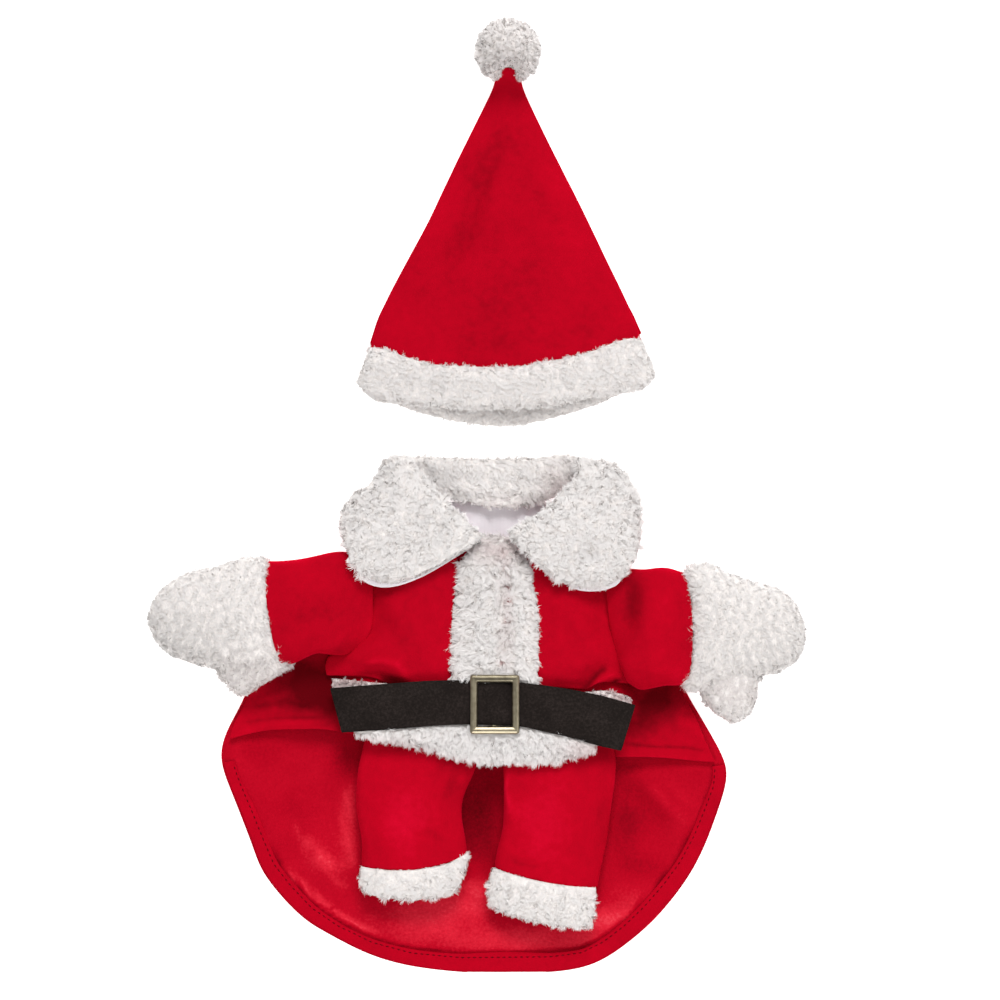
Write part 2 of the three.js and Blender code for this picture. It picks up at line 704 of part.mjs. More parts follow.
// Plain slider: a frame over the belt, and a bar behind the belt that joins the frame past its edges
function slider() {
  const outline = new THREE.Shape();
  const halfW = buckleWidth / 2;
  const halfH = buckleHeight / 2;
  const corner = 1.6;
  outline.moveTo(-halfW + corner, -halfH);
  outline.lineTo(halfW - corner, -halfH);
  outline.quadraticCurveTo(halfW, -halfH, halfW, -halfH + corner);
  outline.lineTo(halfW, halfH - corner);
  outline.quadraticCurveTo(halfW, halfH, halfW - corner, halfH);
  outline.lineTo(-halfW + corner, halfH);
  outline.quadraticCurveTo(-halfW, halfH, -halfW, halfH - corner);
  outline.lineTo(-halfW, -halfH + corner);
  outline.quadraticCurveTo(-halfW, -halfH, -halfW + corner, -halfH);
  const hole = new THREE.Path();
  hole.moveTo(-windowWidth / 2, -windowHeight / 2);
  hole.lineTo(-windowWidth / 2, windowHeight / 2);
  hole.lineTo(windowWidth / 2, windowHeight / 2);
  hole.lineTo(windowWidth / 2, -windowHeight / 2);
  hole.closePath();
  outline.holes.push(hole);
  const frame = new THREE.ExtrudeGeometry(outline, {
    depth: buckleBar - 1.2,
    bevelThickness: 0.6,
    bevelSize: 0.6,
    bevelOffset: -0.6,
    bevelSegments: 2,
    curveSegments: 3,
  });
  frame.deleteAttribute("normal");
  frame.deleteAttribute("uv");
  frame.translate(0, 0, frameLevel + 0.6);
  const barLength = windowHeight + 3;
  const bar = plainBox(centreBarWidth, barLength, barWall, 0, 0, barLevel);
  const postHeight = frameLevel + 1.4 - barLevel;
  const postY = (windowHeight + 1.5) / 2;
  const posts = [-postY, postY].map((y) => plainBox(centreBarWidth, 1.5, postHeight, 0, y, barLevel));
  return joined(frame, bar, ...posts);
}
function plainBox(width, depth, height, x, y, z) {
  const box = new THREE.BoxGeometry(width, depth, height);
  box.deleteAttribute("normal");
  box.deleteAttribute("uv");
  return box.translate(x, y, z + height / 2);
}
const buckleY = -0.2;
const sliderMesh = new THREE.Mesh(slider(), metal());
sliderMesh.name = "buckle";
const tiltReach = 13;
const highEnd = bandTop(0, buckleY + tiltReach);
const lowEnd = bandTop(0, buckleY - tiltReach);
sliderMesh.position.set(0, buckleY, (highEnd + lowEnd) / 2);
sliderMesh.rotation.x = Math.atan2(highEnd - lowEnd, 2 * tiltReach);
suit.add(sliderMesh);

// ---- hat ----
const hatRows = table("leftX leftY rightX rightY", [
  [-5, 169, 6.5, 169],
  [-11, 156.5, 11.8, 156.5],
  [-21.8, 134.5, 22.2, 134.5],
  [-32.6, 112, 33.4, 112],
  [-43.4, 89.6, 44.8, 89.6],
  [-55.4, 67.2, 55.4, 67.2],
  [-66.8, 44.8, 65.6, 45.5],
  [-72.2, 33.6, 71, 35],
  [-76, 20, 74.5, 26],
]);
const hatCrownRows = table("y height", [
  [8, 5.6],
  [40, 7.4],
  [90, 6.4],
  [140, 3.6],
  [170, 1.4],
]);
const hatFolds = table("fromX fromY toX toY height width", [
  [-2, 150, -22, 30, 1.6, 6],
  [8, 120, 30, 34, 1, 8],
  [-40, 74, -56, 30, 0.9, 5],
]);
const hatHalf = (y) => clamp(6 + (169 - y) * 0.487, 5, 78);
const hatCrown = (x, y) =>
  along(hatCrownRows, "y", "height", y) * Math.max(0, 1 - (Math.abs(x) / hatHalf(y)) ** 2.4);
const brimLift = (y) => 3.6 * smooth(46, 20, y);
const hatFrontUnder = (x, y, u, v) =>
  velourWall + layGap + hatCrown(x, y) + foldHeight(hatFolds, x, y) * rim(u, 0.3) + brimLift(y);
const brimBow = table("x drop", [
  [-80, 0],
  [-63, 2],
  [-43, 9],
  [-22, 12],
  [4, 12.6],
  [26, 9.4],
  [45, 4.6],
  [60, 1],
  [78, 0],
]);
function hatPanel(rows, under, overlap) {
  return wall(8, 14, (u, v, w) => {
    const down = 1 - v;
    const [x, flatY] = rowPoint(rows, crowd(u, 0.3), down);
    const y = flatY - (along(brimBow, "x", "drop", x) + overlap) * down ** 5;
    return [x, y, under(x, y, u, down) + w * velourWall];
  });
}
add(hat, "hat_front", hatPanel(hatRows, hatFrontUnder, 5), velour());
add(hat, "hat_back", hatPanel(hatRows, () => 0, 0), velour());

const brimFrontRows = table("leftX leftY rightX rightY leftZ midZ rightZ", [
  [-77, 19.4, -85, -1.5, 9, 7.4, 6],
  [-70, 18.6, -75.5, -11.6, 10.4, 8.8, 7.4],
  [-62, 17, -62, -14, 11.8, 10, 8.8],
  [-43, 11, -43, -16, 13.4, 11.6, 10],
  [-24, 9, -20, -17.4, 14.8, 13.2, 12],
  [3, 8.6, 3, -17, 15.2, 13.6, 12.4],
  [26, 12, 24, -15.6, 14.8, 13.2, 12],
  [45, 17, 46, -10.8, 13.6, 11.4, 10],
  [60, 22, 66, -8, 12.4, 10, 8.4],
  [70, 24.4, 79, -4.5, 11.2, 8.6, 7.2],
  [76.6, 23, 83.6, 4, 9.6, 7.6, 6],
]);
const brimThick = 5.4;
const roundBoa = (thickness, reachU, reachV) => (x, y, u, v) =>
  thickness * (0.4 + 0.6 * rim(u, reachU) * rim(v, reachV));
add(
  hat,
  "hat_band_front",
  laid(
    brimFrontRows,
    7,
    18,
    (x, y, u, v) => wingHeight(brimFrontRows, u, v),
    roundBoa(brimThick, 0.25, 0.06),
  ),
  boa(),
);
const brimBackRows = table("leftX leftY rightX rightY", [
  [-79, 19, -81, 0],
  [-70, 18.7, -71, -9],
  [-59, 16.9, -58, -16],
  [-43, 11.7, -40, -21.4],
  [-22, 9.6, -18, -25.4],
  [4, 10, 5, -26.4],
  [28, 14.4, 29, -21],
  [46, 19.8, 50, -14.5],
  [62, 24, 68, -6],
  [76, 24.8, 80.4, 2],
]);
add(
  hat,
  "hat_band_back",
  laid(brimBackRows, 6, 16, () => 0, roundBoa(brimThick, 0.2, 0.06)),
  boa(),
);

const pompomMiddle = new THREE.Vector3(0.6, 183.7, 18);
add(
  hat,
  "hat_pompom",
  shaped(new THREE.SphereGeometry(1, 20, 13), (p) => {
    const clump =
      Math.sin(pompomClumps * Math.atan2(p.z, p.x)) * Math.cos(pompomClumps * p.y * 1.3 + 0.6);
    const radius = pompomRadius + pompomClump * clump * Math.max(0, 1 - Math.abs(p.z) ** 3);
    return [
      pompomMiddle.x + p.x * radius,
      pompomMiddle.y + p.y * radius,
      Math.max(0, pompomMiddle.z + p.z * radius),
    ];
  }),
  boa(),
);

const costume = new THREE.Group();
costume.name = "dog_santa_costume";
costume.add(suit);
costume.add(hat);
export default costume;
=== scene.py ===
import math

import bmesh
import bpy
import numpy as np
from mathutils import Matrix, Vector
from mathutils.bvhtree import BVHTree
from mathutils.kdtree import KDTree


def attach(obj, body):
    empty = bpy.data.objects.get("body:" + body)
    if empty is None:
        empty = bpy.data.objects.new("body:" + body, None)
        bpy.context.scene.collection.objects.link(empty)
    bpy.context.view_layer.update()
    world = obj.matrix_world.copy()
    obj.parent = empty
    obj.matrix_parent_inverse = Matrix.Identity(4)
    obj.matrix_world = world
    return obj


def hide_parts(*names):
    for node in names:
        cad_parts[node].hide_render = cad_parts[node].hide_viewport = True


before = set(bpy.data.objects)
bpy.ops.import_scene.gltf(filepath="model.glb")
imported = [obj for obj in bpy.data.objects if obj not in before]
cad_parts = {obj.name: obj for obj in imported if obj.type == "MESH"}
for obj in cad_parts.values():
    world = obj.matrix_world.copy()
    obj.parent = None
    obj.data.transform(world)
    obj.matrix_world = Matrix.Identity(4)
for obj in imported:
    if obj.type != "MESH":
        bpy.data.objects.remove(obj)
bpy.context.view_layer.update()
print("frame loaded")

mm = 0.001
metre = 1000  # mm
suitPlace = (10, -116.2)  # mm, centre of the buckle, from which the suit and all boa are laid out
hatPlace = (16.8, 64.7)  # mm, middle of the brim, from which the hat's velour is laid out
restHeight = 0.05  # mm, nothing goes lower than this above the floor


def linear(colour):
    # an sRGB hex colour, or a level of grey that is linear already, as Blender's linear colour
    if not isinstance(colour, str):
        return (colour, colour, colour, 1.0)
    parts = [int(colour[i:i + 2], 16) / 255 for i in (0, 2, 4)]
    return tuple(c / 12.92 if c <= 0.04045 else ((c + 0.055) / 1.055) ** 2.4 for c in parts) + (1.0,)


def ease(low, high, value):
    t = np.clip((value - low) / (high - low), 0, 1)
    return t * t * (3 - 2 * t)


def wave(points, size, seed):
    # smooth, even noise about -1 to 1 from a few plane waves; size is the wavelength in the points' unit
    waves = 9
    rng = np.random.default_rng(seed)
    total = np.zeros(len(points))
    for _ in range(waves):
        way = rng.normal(size=3)
        way *= 2 * math.pi / size * rng.uniform(0.7, 1.4) / np.linalg.norm(way)
        total += np.sin(points @ way + rng.uniform(0, 2 * math.pi))
    return total / math.sqrt(waves)


def unit(vectors):
    # vectors (along the last axis) brought to length 1
    return vectors / np.maximum(np.linalg.norm(vectors, axis=-1, keepdims=True), 1e-9)


def spots(places, marks):
    # soft oval marks, each with its centre, its reach each way and its strength
    total = np.zeros(len(places))
    for x, y, reachX, reachY, strength in marks:
        off = (places - (x, y)) / (reachX, reachY)
        total += strength * np.exp(-np.sum(off ** 2, axis=1))
    return total


def besideLine(points, line):
    # distance to a line of points, the side it is on, and how far along it is (0 to 1)
    line = np.array(line, float)
    steps = np.linalg.norm(np.diff(line, axis=0), axis=1)
    starts = np.concatenate([[0], np.cumsum(steps)])
    best = np.full(len(points), 1e9)
    side = np.zeros(len(points))
    share = np.zeros(len(points))
    for a, b, start, length in zip(line[:-1], line[1:], starts, steps):
        way = (b - a) / length
        gap = points - a
        run = np.clip(gap @ way, 0, length)
        off = gap - run[:, None] * way
        distance = np.linalg.norm(off, axis=1)
        nearer = distance < best
        best[nearer] = distance[nearer]
        side[nearer] = np.sign(gap[:, 0] * way[1] - gap[:, 1] * way[0])[nearer]
        share[nearer] = ((start + run) / starts[-1])[nearer]
    return best, side, share


def fold(line, rise, wide, end=0.3, dip=0):
    # a soft ridge (or groove) along a line, in mm, that fades at both ends; dip is how deep the cloth sinks
    # beside it, as a share of the rise and on the side that its sign says
    return line, rise, wide, end, dip


def foldHeights(points, folds):
    height = np.zeros(len(points))
    for line, rise, wide, end, dip in folds:
        distance, side, share = besideLine(points, line)
        body = ease(0, end, share) * ease(0, end, 1 - share) if end else 1
        across = distance * side
        shape = np.exp(-((across / wide) ** 2))
        if dip:
            shape -= abs(dip) * np.exp(-(((across - math.copysign(1.5 * wide, dip)) / wide) ** 2))
        height += rise * body * shape
    return height


def linked(name, data):
    piece = bpy.data.objects.new(name, data)
    bpy.context.collection.objects.link(piece)
    return piece


def pointsOf(mesh):
    points = np.empty(len(mesh.vertices) * 3)
    mesh.vertices.foreach_get("co", points)
    return points.reshape(-1, 3)


def normalsOf(mesh):
    normals = np.empty(len(mesh.vertices) * 3)
    mesh.vertex_normals.foreach_get("vector", normals)
    return normals.reshape(-1, 3)


def setPoints(mesh, points):
    mesh.vertices.foreach_set("co", points.ravel())
    mesh.update()


def setValues(mesh, name, values):
    layer = mesh.attributes.new(name, "FLOAT", "POINT")
    layer.data.foreach_set("value", np.asarray(values, np.float32))


def meshFrom(name, points, faces):
    # a mesh from arrays, every face with the same number of corners
    mesh = bpy.data.meshes.new(name)
    corners = faces.shape[1]
    mesh.vertices.add(len(points))
    mesh.vertices.foreach_set("co", points.ravel())
    mesh.loops.add(faces.size)
    mesh.loops.foreach_set("vertex_index", faces.ravel())
    mesh.polygons.add(len(faces))
    mesh.polygons.foreach_set("loop_start", np.arange(0, faces.size, corners))
    mesh.update(calc_edges=True)
    mesh.polygons.foreach_set("use_smooth", np.ones(len(faces), bool))
    return mesh


# angles in radians: faces that turn less than join become one, edges that turn more than crease stay firmer
rounding = {"weld": 0.02 * mm, "join": 0.8, "crease": 0.9, "rounds": 3, "push": 0.8}


def rounded(nodeName, name, levels, firmness):
    # the node's own form with its corners rounded and enough points for folds
    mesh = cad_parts[nodeName].data.copy()
    mesh.name = name
    mesh.materials.clear()
    bm = bmesh.new()
    bm.from_mesh(mesh)
    bmesh.ops.remove_doubles(bm, verts=bm.verts, dist=rounding["weld"])
    bmesh.ops.join_triangles(bm, faces=bm.faces, angle_face_threshold=rounding["join"],
                             angle_shape_threshold=3.0)
    crease = bm.edges.layers.float.new("crease_edge")
    for edge in bm.edges:
        if len(edge.link_faces) == 2 and edge.calc_face_angle(0) > rounding["crease"]:
            edge[crease] = firmness
    bm.to_mesh(mesh)
    bm.free()
    piece = linked(name, mesh)
    smoother = piece.modifiers.new("rounding", "SUBSURF")
    smoother.levels = smoother.render_levels = levels
    goal = pointsOf(mesh)
    control = goal.copy()
    for _ in range(rounding["rounds"]):
        # corners pull in as they round, so the control points are pushed out until they reach the solid's
        done = bpy.data.meshes.new_from_object(piece.evaluated_get(bpy.context.evaluated_depsgraph_get()))
        control += (goal - pointsOf(done)[:len(goal)]) * rounding["push"]
        setPoints(mesh, control)
    done = bpy.data.meshes.new_from_object(piece.evaluated_get(bpy.context.evaluated_depsgraph_get()))
    piece.modifiers.clear()
    piece.data = done
    done.name = name
    piece.data.polygons.foreach_set("use_smooth", np.ones(len(piece.data.polygons), bool))
    spare = ("crease_edge", "sharp_face", "sharp_edge")
    for layer in [a for a in piece.data.attributes if a.name in spare]:
        piece.data.attributes.remove(layer)
    return piece


def clothFrom(look):
    # a cloth piece on its solid's form, with soft creases laid one by one and a little unevenness
    piece = rounded(look["node"], look["name"], look["levels"], look.get("firmness", 0.6))
    mesh = piece.data
    points = pointsOf(mesh)
    origin = np.array(look.get("origin", suitPlace))
    local = points[:, :2] / mm - origin
    weight = np.ones(len(points))
    if "topOnly" in look:
        # the sides of a tube or a stuffed piece keep their form
        low, high = points[:, 2].min(), points[:, 2].max()
        weight = ease(low + 0.35 * (high - low), low + 0.8 * (high - low), points[:, 2])
    lift = foldHeights(local, look.get("folds", []))
    for size, height, seed in look.get("uneven", []):
        flat = np.column_stack([local, np.zeros(len(local))])
        lift += height * wave(flat, size, seed)
    lift *= weight
    for line, wide, shift in look.get("drags", []):
        distance, _, _ = besideLine(local, line)
        points += np.exp(-((distance / wide) ** 2))[:, None] * np.array(shift) * mm
    if "inset" in look:
        points -= normalsOf(mesh) * look["inset"] * mm
    points[:, 2] += lift * mm
    points[:, 2] = np.maximum(points[:, 2], restHeight * mm)
    setPoints(mesh, points)
    # the nap and rubbed marks hold painted light and shade as well as crushed patches: above zero lighter,
    # below zero darker
    shade = spots(local, look.get("nap_and_painted_light", []))
    for line, wide, strength in look.get("rubbed_and_painted_light", []):
        distance, _, share = besideLine(local, line)
        ends = ease(0, 0.2, share) * ease(0, 0.2, 1 - share)
        shade += strength * np.exp(-((distance / wide) ** 2)) * ends
    setValues(mesh, "nap_and_painted_light", shade)
    return piece


def surfaceOf(piece):
    mesh = piece.data
    return BVHTree.FromPolygons([v.co for v in mesh.vertices], [f.vertices[:] for f in mesh.polygons])


def topFinder(piece):
    # gives the height of a piece's top side at a place
    surface = surfaceOf(piece)
    overhead = 0.2  # m, well above the set

    def top(x, y):
        hit = surface.ray_cast(Vector((x, y, overhead)), Vector((0, 0, -1)))[0]
        return hit.z if hit else None

    return top


def coverOf(pieces, reach):
    # tells which places (mm) lie under one of the pieces, within reach above them
    surfaces = [surfaceOf(piece) for piece in pieces]

    def covered(places):
        hits = np.zeros(len(places), bool)
        for k, place in enumerate(places):
            ray = Vector(place * mm), Vector((0, 0, 1)), reach * mm
            hits[k] = any(surface.ray_cast(*ray)[0] is not None for surface in surfaces)
        return hits

    return covered


# what every lock of boa has, in mm: two points at its foot, two at its belly and one at its tip
lock = {"points": 5, "rise": [0, 0, 0.6, 0.6, 1], "faces": [[0, 1, 3], [0, 3, 2], [2, 3, 4]],
        "lengths": (0.65, 1.2), "swell": 0.25, "shortest": 0.8, "widths": (0.7, 1.3), "taper": 0.85,
        "sunk": 0.5, "arch": 0.08, "reach": 1.08, "ownTone": 0.6, "under": 0.1, "cover": 14}


def pileOn(base, name, fur):
    # boa pile: small tapered curved ribbons of fibre, gathered in tufts, joined in one mesh
    rng = np.random.default_rng(fur["seed"])
    mesh = base.data
    mesh.calc_loop_triangles()
    corners = np.empty(len(mesh.loop_triangles) * 3, np.int32)
    mesh.loop_triangles.foreach_get("vertices", corners)
    corners = corners.reshape(-1, 3)
    points = pointsOf(mesh)
    normals = normalsOf(mesh)
    a, b, c = (points[corners[:, k]] for k in range(3))
    cross = np.cross(b - a, c - a)
    area = np.linalg.norm(cross, axis=1) / 2
    up = cross[:, 2] / np.maximum(2 * area, 1e-12)
    # few locks grow on the underside, and none where another piece lies on the boa
    chance = area * np.where(up > -0.2, 1.0, lock["under"])
    if "below" in fur:
        chance *= np.where(coverOf(fur["below"], lock["cover"])((a + b + c) / 3 / mm), 0.0, 1.0)
    count = fur["locks"]
    pick = rng.choice(len(corners), size=count, p=chance / chance.sum())
    u, v = rng.random(count), rng.random(count)
    over = u + v > 1
    u[over], v[over] = 1 - u[over], 1 - v[over]
    share = np.column_stack([1 - u - v, u, v])
    root = sum(points[corners[pick, k]] * share[:, k:k + 1] for k in range(3)) / mm
    normal = unit(sum(normals[corners[pick, k]] * share[:, k:k + 1] for k in range(3)))
    swirl = np.column_stack([wave(root, fur["clump"], fur["seed"] + k) for k in (1, 2, 3)])
    lean = swirl * fur["curl"] + rng.normal(size=(count, 3)) * fur["loose"]
    if "flow" in fur:
        lean += fur["flow"](root)
    way = unit(normal * fur["stand"] + lean - normal * np.sum(lean * normal, axis=1, keepdims=True))
    length = fur["length"] * rng.uniform(*lock["lengths"], count)
    length *= 1 + lock["swell"] * wave(root, fur["clump"] * 1.7, fur["seed"] + 9)
    for line, wide, kept in fur.get("trim", []):
        distance, _, _ = besideLine(root[:, :2] - suitPlace, line)
        length *= 1 - (1 - kept) * np.exp(-((distance / wide) ** 2))
    length = np.maximum(length, lock["shortest"])[:, None]
    # each tip is drawn towards the tip of its tuft
    centres = rng.choice(count, size=max(count // fur["perTuft"], 1), replace=False)
    tree = KDTree(len(centres))
    for centre in centres:
        tree.insert(root[centre], int(centre))
    tree.balance()
    nearest = np.array([tree.find(place)[1] for place in root])
    tip = root + way * length
    goal = root[nearest] + way[nearest] * length[nearest] * lock["reach"]
    tip += (goal - tip) * fur["gather"]
    bend = unit(np.cross(way, rng.normal(size=(count, 3))))
    belly = (root + tip) / 2 + bend * length * fur["crimp"] + normal * length * lock["arch"]
    foot = root - normal * lock["sunk"]
    # the flat of the ribbon lies roughly upward
    side = unit(np.cross(way, normal + rng.normal(size=(count, 3)) * fur["roll"]))
    half = side * (fur["thick"] * rng.uniform(*lock["widths"], count) / 2)[:, None]
    narrow = half * lock["taper"]
    made = np.stack([foot - half, foot + half, belly - narrow, belly + narrow, tip], axis=1)
    made[:, :, 2] = np.maximum(made[:, :, 2], restHeight)
    faces = np.array(lock["faces"])[None] + lock["points"] * np.arange(count)[:, None, None]
    pile = linked(name, meshFrom(name, made.reshape(-1, 3) * mm, faces.reshape(-1, 3)))
    setValues(pile.data, "rise", np.tile(lock["rise"], count))
    tone = (1 - lock["ownTone"]) * rng.random(count)[nearest] + lock["ownTone"] * rng.random(count)
    setValues(pile.data, "tuft", np.repeat(tone, lock["points"]))
    # painted red bounce light from the velour nearby, and painted shade, as values per lock
    for paintedTone in ("painted_red_bounce", "painted_shade"):
        amount = spots(root[:, :2] - suitPlace, fur.get(paintedTone, []))
        setValues(pile.data, paintedTone, np.repeat(amount, lock["points"]))
    # the ribbons catch light mostly as the surface that carries them does, as dense fibre does
    face = np.cross(side, way)
    face *= np.where(np.sum(face * normal, axis=1, keepdims=True) < 0, -1, 1)
    own = np.stack([face, face, face - side * 0.5, face + side * 0.5, face + way * 0.5], axis=1)
    toSky = unit(normal + np.array([0, 0, fur["airy"]]))
    soft = unit(toSky[:, None, :] * (1 - fur["crisp"]) + own * fur["crisp"])
    pile.data.normals_split_custom_set_from_vertices(soft.reshape(-1, 3).tolist())
    return pile


def stitchesOn(name, path, carrier, sewing):
    # a run of short thread stitches that lie on the carrier's top side
    path = np.array(path, float)
    steps = np.concatenate([[0], np.cumsum(np.linalg.norm(np.diff(path, axis=0), axis=1))])
    pitch = sewing["stitch"] + sewing["gap"]
    starts = np.arange(0, steps[-1] - sewing["stitch"], pitch)
    top = topFinder(carrier)
    points, faces = [], []
    for start in starts:
        ends = []
        for s in (start, start + sewing["stitch"]):
            x = np.interp(s, steps, path[:, 0]) * mm
            y = np.interp(s, steps, path[:, 1]) * mm
            z = top(x, y)
            ends.append(None if z is None else Vector((x, y, z)))
        if None in ends:
            continue
        a, b = ends
        way = (b - a).normalized()
        side = Vector((-way.y, way.x, 0)) * sewing["thread"] / 2 * mm
        lift = Vector((0, 0, sewing["thread"] * 0.6 * mm))
        first = len(points)
        centre = (a + b) / 2
        points += [a, centre + side, centre + lift, centre - side, centre - lift * 0.3, b]
        for k in range(4):
            here, after = first + 1 + k, first + 1 + (k + 1) % 4
            faces += [(first, here, after), (first + 5, after, here)]
    return linked(name, meshFrom(name, np.array(points, float), np.array(faces)))


def addNode(tree, kind, inputs=None, out=0, stops=(), **settings):
    # adds a node with its settings and links, and gives one of its outputs; stops are a ramp's colours
    node = tree.nodes.new(kind)
    for key, value in settings.items():
        setattr(node, key, value)
    for socket, value in (inputs or {}).items():
        if isinstance(value, bpy.types.NodeSocket):
            tree.links.new(value, node.inputs[socket])
        else:
            node.inputs[socket].default_value = value
    if stops:
        elements = node.color_ramp.elements
        for place, _ in stops[2:]:
            elements.new(place)
        for element, (place, colour) in zip(elements, stops):
            element.position = place
            element.color = linear(colour)
    return node.outputs[out] if node.outputs else None


def makeMaterial(name, shaderOf, look):
    # a material made by one of the functions below; noises are (real size in mm, detail, roughness), and
    # marks are values that the pieces carry at each point
    material = bpy.data.materials.new(name)
    material.use_nodes = True
    tree = material.node_tree
    tree.nodes.clear()
    place = addNode(tree, "ShaderNodeTexCoord", out="Object")
    patterns = {"place": place}
    for key, (size, detail, rough) in look.get("noises", {}).items():
        patterns[key] = addNode(tree, "ShaderNodeTexNoise", {
            "Vector": place, "Scale": metre / size, "Detail": detail, "Roughness": rough})
    for mark in look.get("marks", []):
        patterns[mark] = addNode(tree, "ShaderNodeAttribute", out="Fac", attribute_name=mark)
    addNode(tree, "ShaderNodeOutputMaterial", {"Surface": shaderOf(tree, patterns, look)})
    return material


def layered(tree, base, *layers):
    # adds patterns to a base, each times its share
    for pattern, share in layers:
        base = addNode(tree, "ShaderNodeMath", {0: pattern, 1: share, 2: base}, operation="MULTIPLY_ADD")
    return base


def velourShader(tree, patterns, look):
    # knitted polyester velour, brushed soft: dark where its pile is pushed down, with a painted highlight on
    # cloth that turns away from straight up
    crushShare, brushShare = look["shares"]
    # the pieces' marks lay painted shade and painted highlight over the crushed and brushed tones
    nap_and_painted_light = layered(tree, patterns["nap_and_painted_light"], (patterns["crush"], crushShare), (patterns["brush"], brushShare))
    # noise lies around 0.5, so this brings plain cloth to the middle of the ramp
    nap_and_painted_light = addNode(tree, "ShaderNodeMath", {0: nap_and_painted_light, 1: 0.5 - 0.5 * (crushShare + brushShare)})
    # painted highlight: the steeper the cloth, the further up the ramp its colour goes
    normal = addNode(tree, "ShaderNodeNewGeometry", out="Normal")
    facing = addNode(tree, "ShaderNodeSeparateXYZ", {"Vector": normal}, out="Z")
    level = addNode(tree, "ShaderNodeMath", {0: facing}, operation="ABSOLUTE")
    edge = addNode(tree, "ShaderNodeMapRange", {
        "Value": level, "From Min": 0.85, "From Max": 0.1, "To Max": look["edge"]})
    lit = addNode(tree, "ShaderNodeMath", {0: nap_and_painted_light, 1: edge})
    colour = addNode(tree, "ShaderNodeValToRGB", {"Fac": lit}, stops=look["colours"])
    bump = addNode(tree, "ShaderNodeBump", {
        "Height": patterns["grain"], "Strength": look["grainBump"], "Distance": 0.4 * mm})
    return addNode(tree, "ShaderNodeBsdfPrincipled", {
        "Base Color": colour, "Roughness": 0.95, "Specular IOR Level": 0.0, "Sheen Weight": look["sheen"],
        "Sheen Roughness": 0.35, "Sheen Tint": linear(look["sheenTint"]), "Normal": bump})


velourRight = makeMaterial("brushed_velour", velourShader, {
    "noises": {"crush": (26.0, 3.0, 0.55), "brush": (4.5, 4.0, 0.6), "grain": (0.7, 2.0, 0.5)},
    "marks": ["nap_and_painted_light"], "shares": (0.35, 0.3), "grainBump": 0.25, "edge": 0.3, "sheen": 0.12,
    "sheenTint": "ff1434",
    "colours": [(0.0, "5a040c"), (0.25, "860515"), (0.45, "a3051a"), (0.6, "ad051c"), (0.95, "cc0a2c")]})
velourWrong = makeMaterial("velour_wrong_side", velourShader, {
    "noises": {"crush": (24.0, 3.0, 0.55), "brush": (1.6, 4.0, 0.6), "grain": (0.9, 2.0, 0.5)},
    "marks": ["nap_and_painted_light"], "shares": (0.35, 0.35), "grainBump": 0.5, "edge": 0.2, "sheen": 0.06,
    "sheenTint": "ff4058",
    "colours": [(0.0, "5a040c"), (0.2, "820515"), (0.42, "a2061b"), (0.6, "ae0a20"), (0.8, "cb2234"),
                (1.0, "dd4854")]})


def boaFibreShader(tree, patterns, look):
    # polyester boa fibre: matt white strands with painted warm shade towards their feet, deep in the pile,
    # and light through and between them
    tone = layered(tree, look["foot"], *((patterns[key], share) for key, share in look["shares"].items()))
    colour = addNode(tree, "ShaderNodeValToRGB", {"Fac": tone}, stops=look["colours"])
    # the fibre colour takes painted red bounce light and painted shade where the pieces' marks say
    for paintedTone in ("painted_red_bounce", "painted_shade"):
        colour = addNode(tree, "ShaderNodeMix", {
            "Factor": patterns[paintedTone], 6: colour, 7: linear(look[paintedTone])}, out=2, data_type="RGBA")
    matt = addNode(tree, "ShaderNodeBsdfPrincipled", {
        "Base Color": colour, "Roughness": 0.9, "Specular IOR Level": 0.1, "Sheen Weight": 0.1,
        "Sheen Roughness": 0.6})
    through = addNode(tree, "ShaderNodeBsdfTranslucent", {"Color": colour})
    fibre = addNode(tree, "ShaderNodeMixShader", {0: look["through"], 1: matt, 2: through})
    between = addNode(tree, "ShaderNodeBsdfTransparent")
    return addNode(tree, "ShaderNodeMixShader", {0: look["open"], 1: fibre, 2: between})


boaFibre = makeMaterial("boa_fleece_fibre", boaFibreShader, {
    "noises": {"patch": (5.0, 3.0, 0.5)}, "marks": ["rise", "tuft", "painted_red_bounce", "painted_shade"],
    "foot": 0.05, "shares": {"rise": 0.68, "tuft": 0.2, "patch": 0.2},
    "colours": [(0.05, "e0d9d6"), (0.45, "efebe9"), (0.85, "f8f6f5")],
    # the last two colours are painted: a red bounce from the velour and a grey shade
    "painted_red_bounce": "c99a98", "painted_shade": "a8a4a1", "through": 0.25, "open": 0.28})


def boaGroundShader(tree, patterns, look):
    # the knit that carries the boa pile: short dense fleece between the tufts, a little greyer than the fibre
    # as painted shade, with the red of a seam showing
    curl = addNode(tree, "ShaderNodeTexVoronoi", {"Vector": patterns["place"], "Scale": metre / look["curl"]})
    fleece = layered(tree, curl, (patterns["fuzz"], look["fuzzShare"]))
    colour = addNode(tree, "ShaderNodeValToRGB", {"Fac": fleece}, stops=look["colours"])
    colour = addNode(tree, "ShaderNodeMix", {
        "Factor": patterns["seam"], 6: colour, 7: linear(look["red"])}, out=2, data_type="RGBA")
    bump = addNode(tree, "ShaderNodeBump", {"Height": fleece, "Strength": 0.2, "Distance": 0.8 * mm})
    return addNode(tree, "ShaderNodeBsdfPrincipled", {
        "Base Color": colour, "Roughness": 0.95, "Specular IOR Level": 0.1, "Sheen Weight": 0.2,
        "Normal": bump})


boaGround = makeMaterial("boa_ground_fleece", boaGroundShader, {
    "noises": {"fuzz": (0.8, 3.0, 0.5)}, "marks": ["seam"], "curl": 2.2, "fuzzShare": 0.6,
    "colours": [(0.2, "e7e3e0"), (0.9, "dad5d2")], "red": "8a3030"})


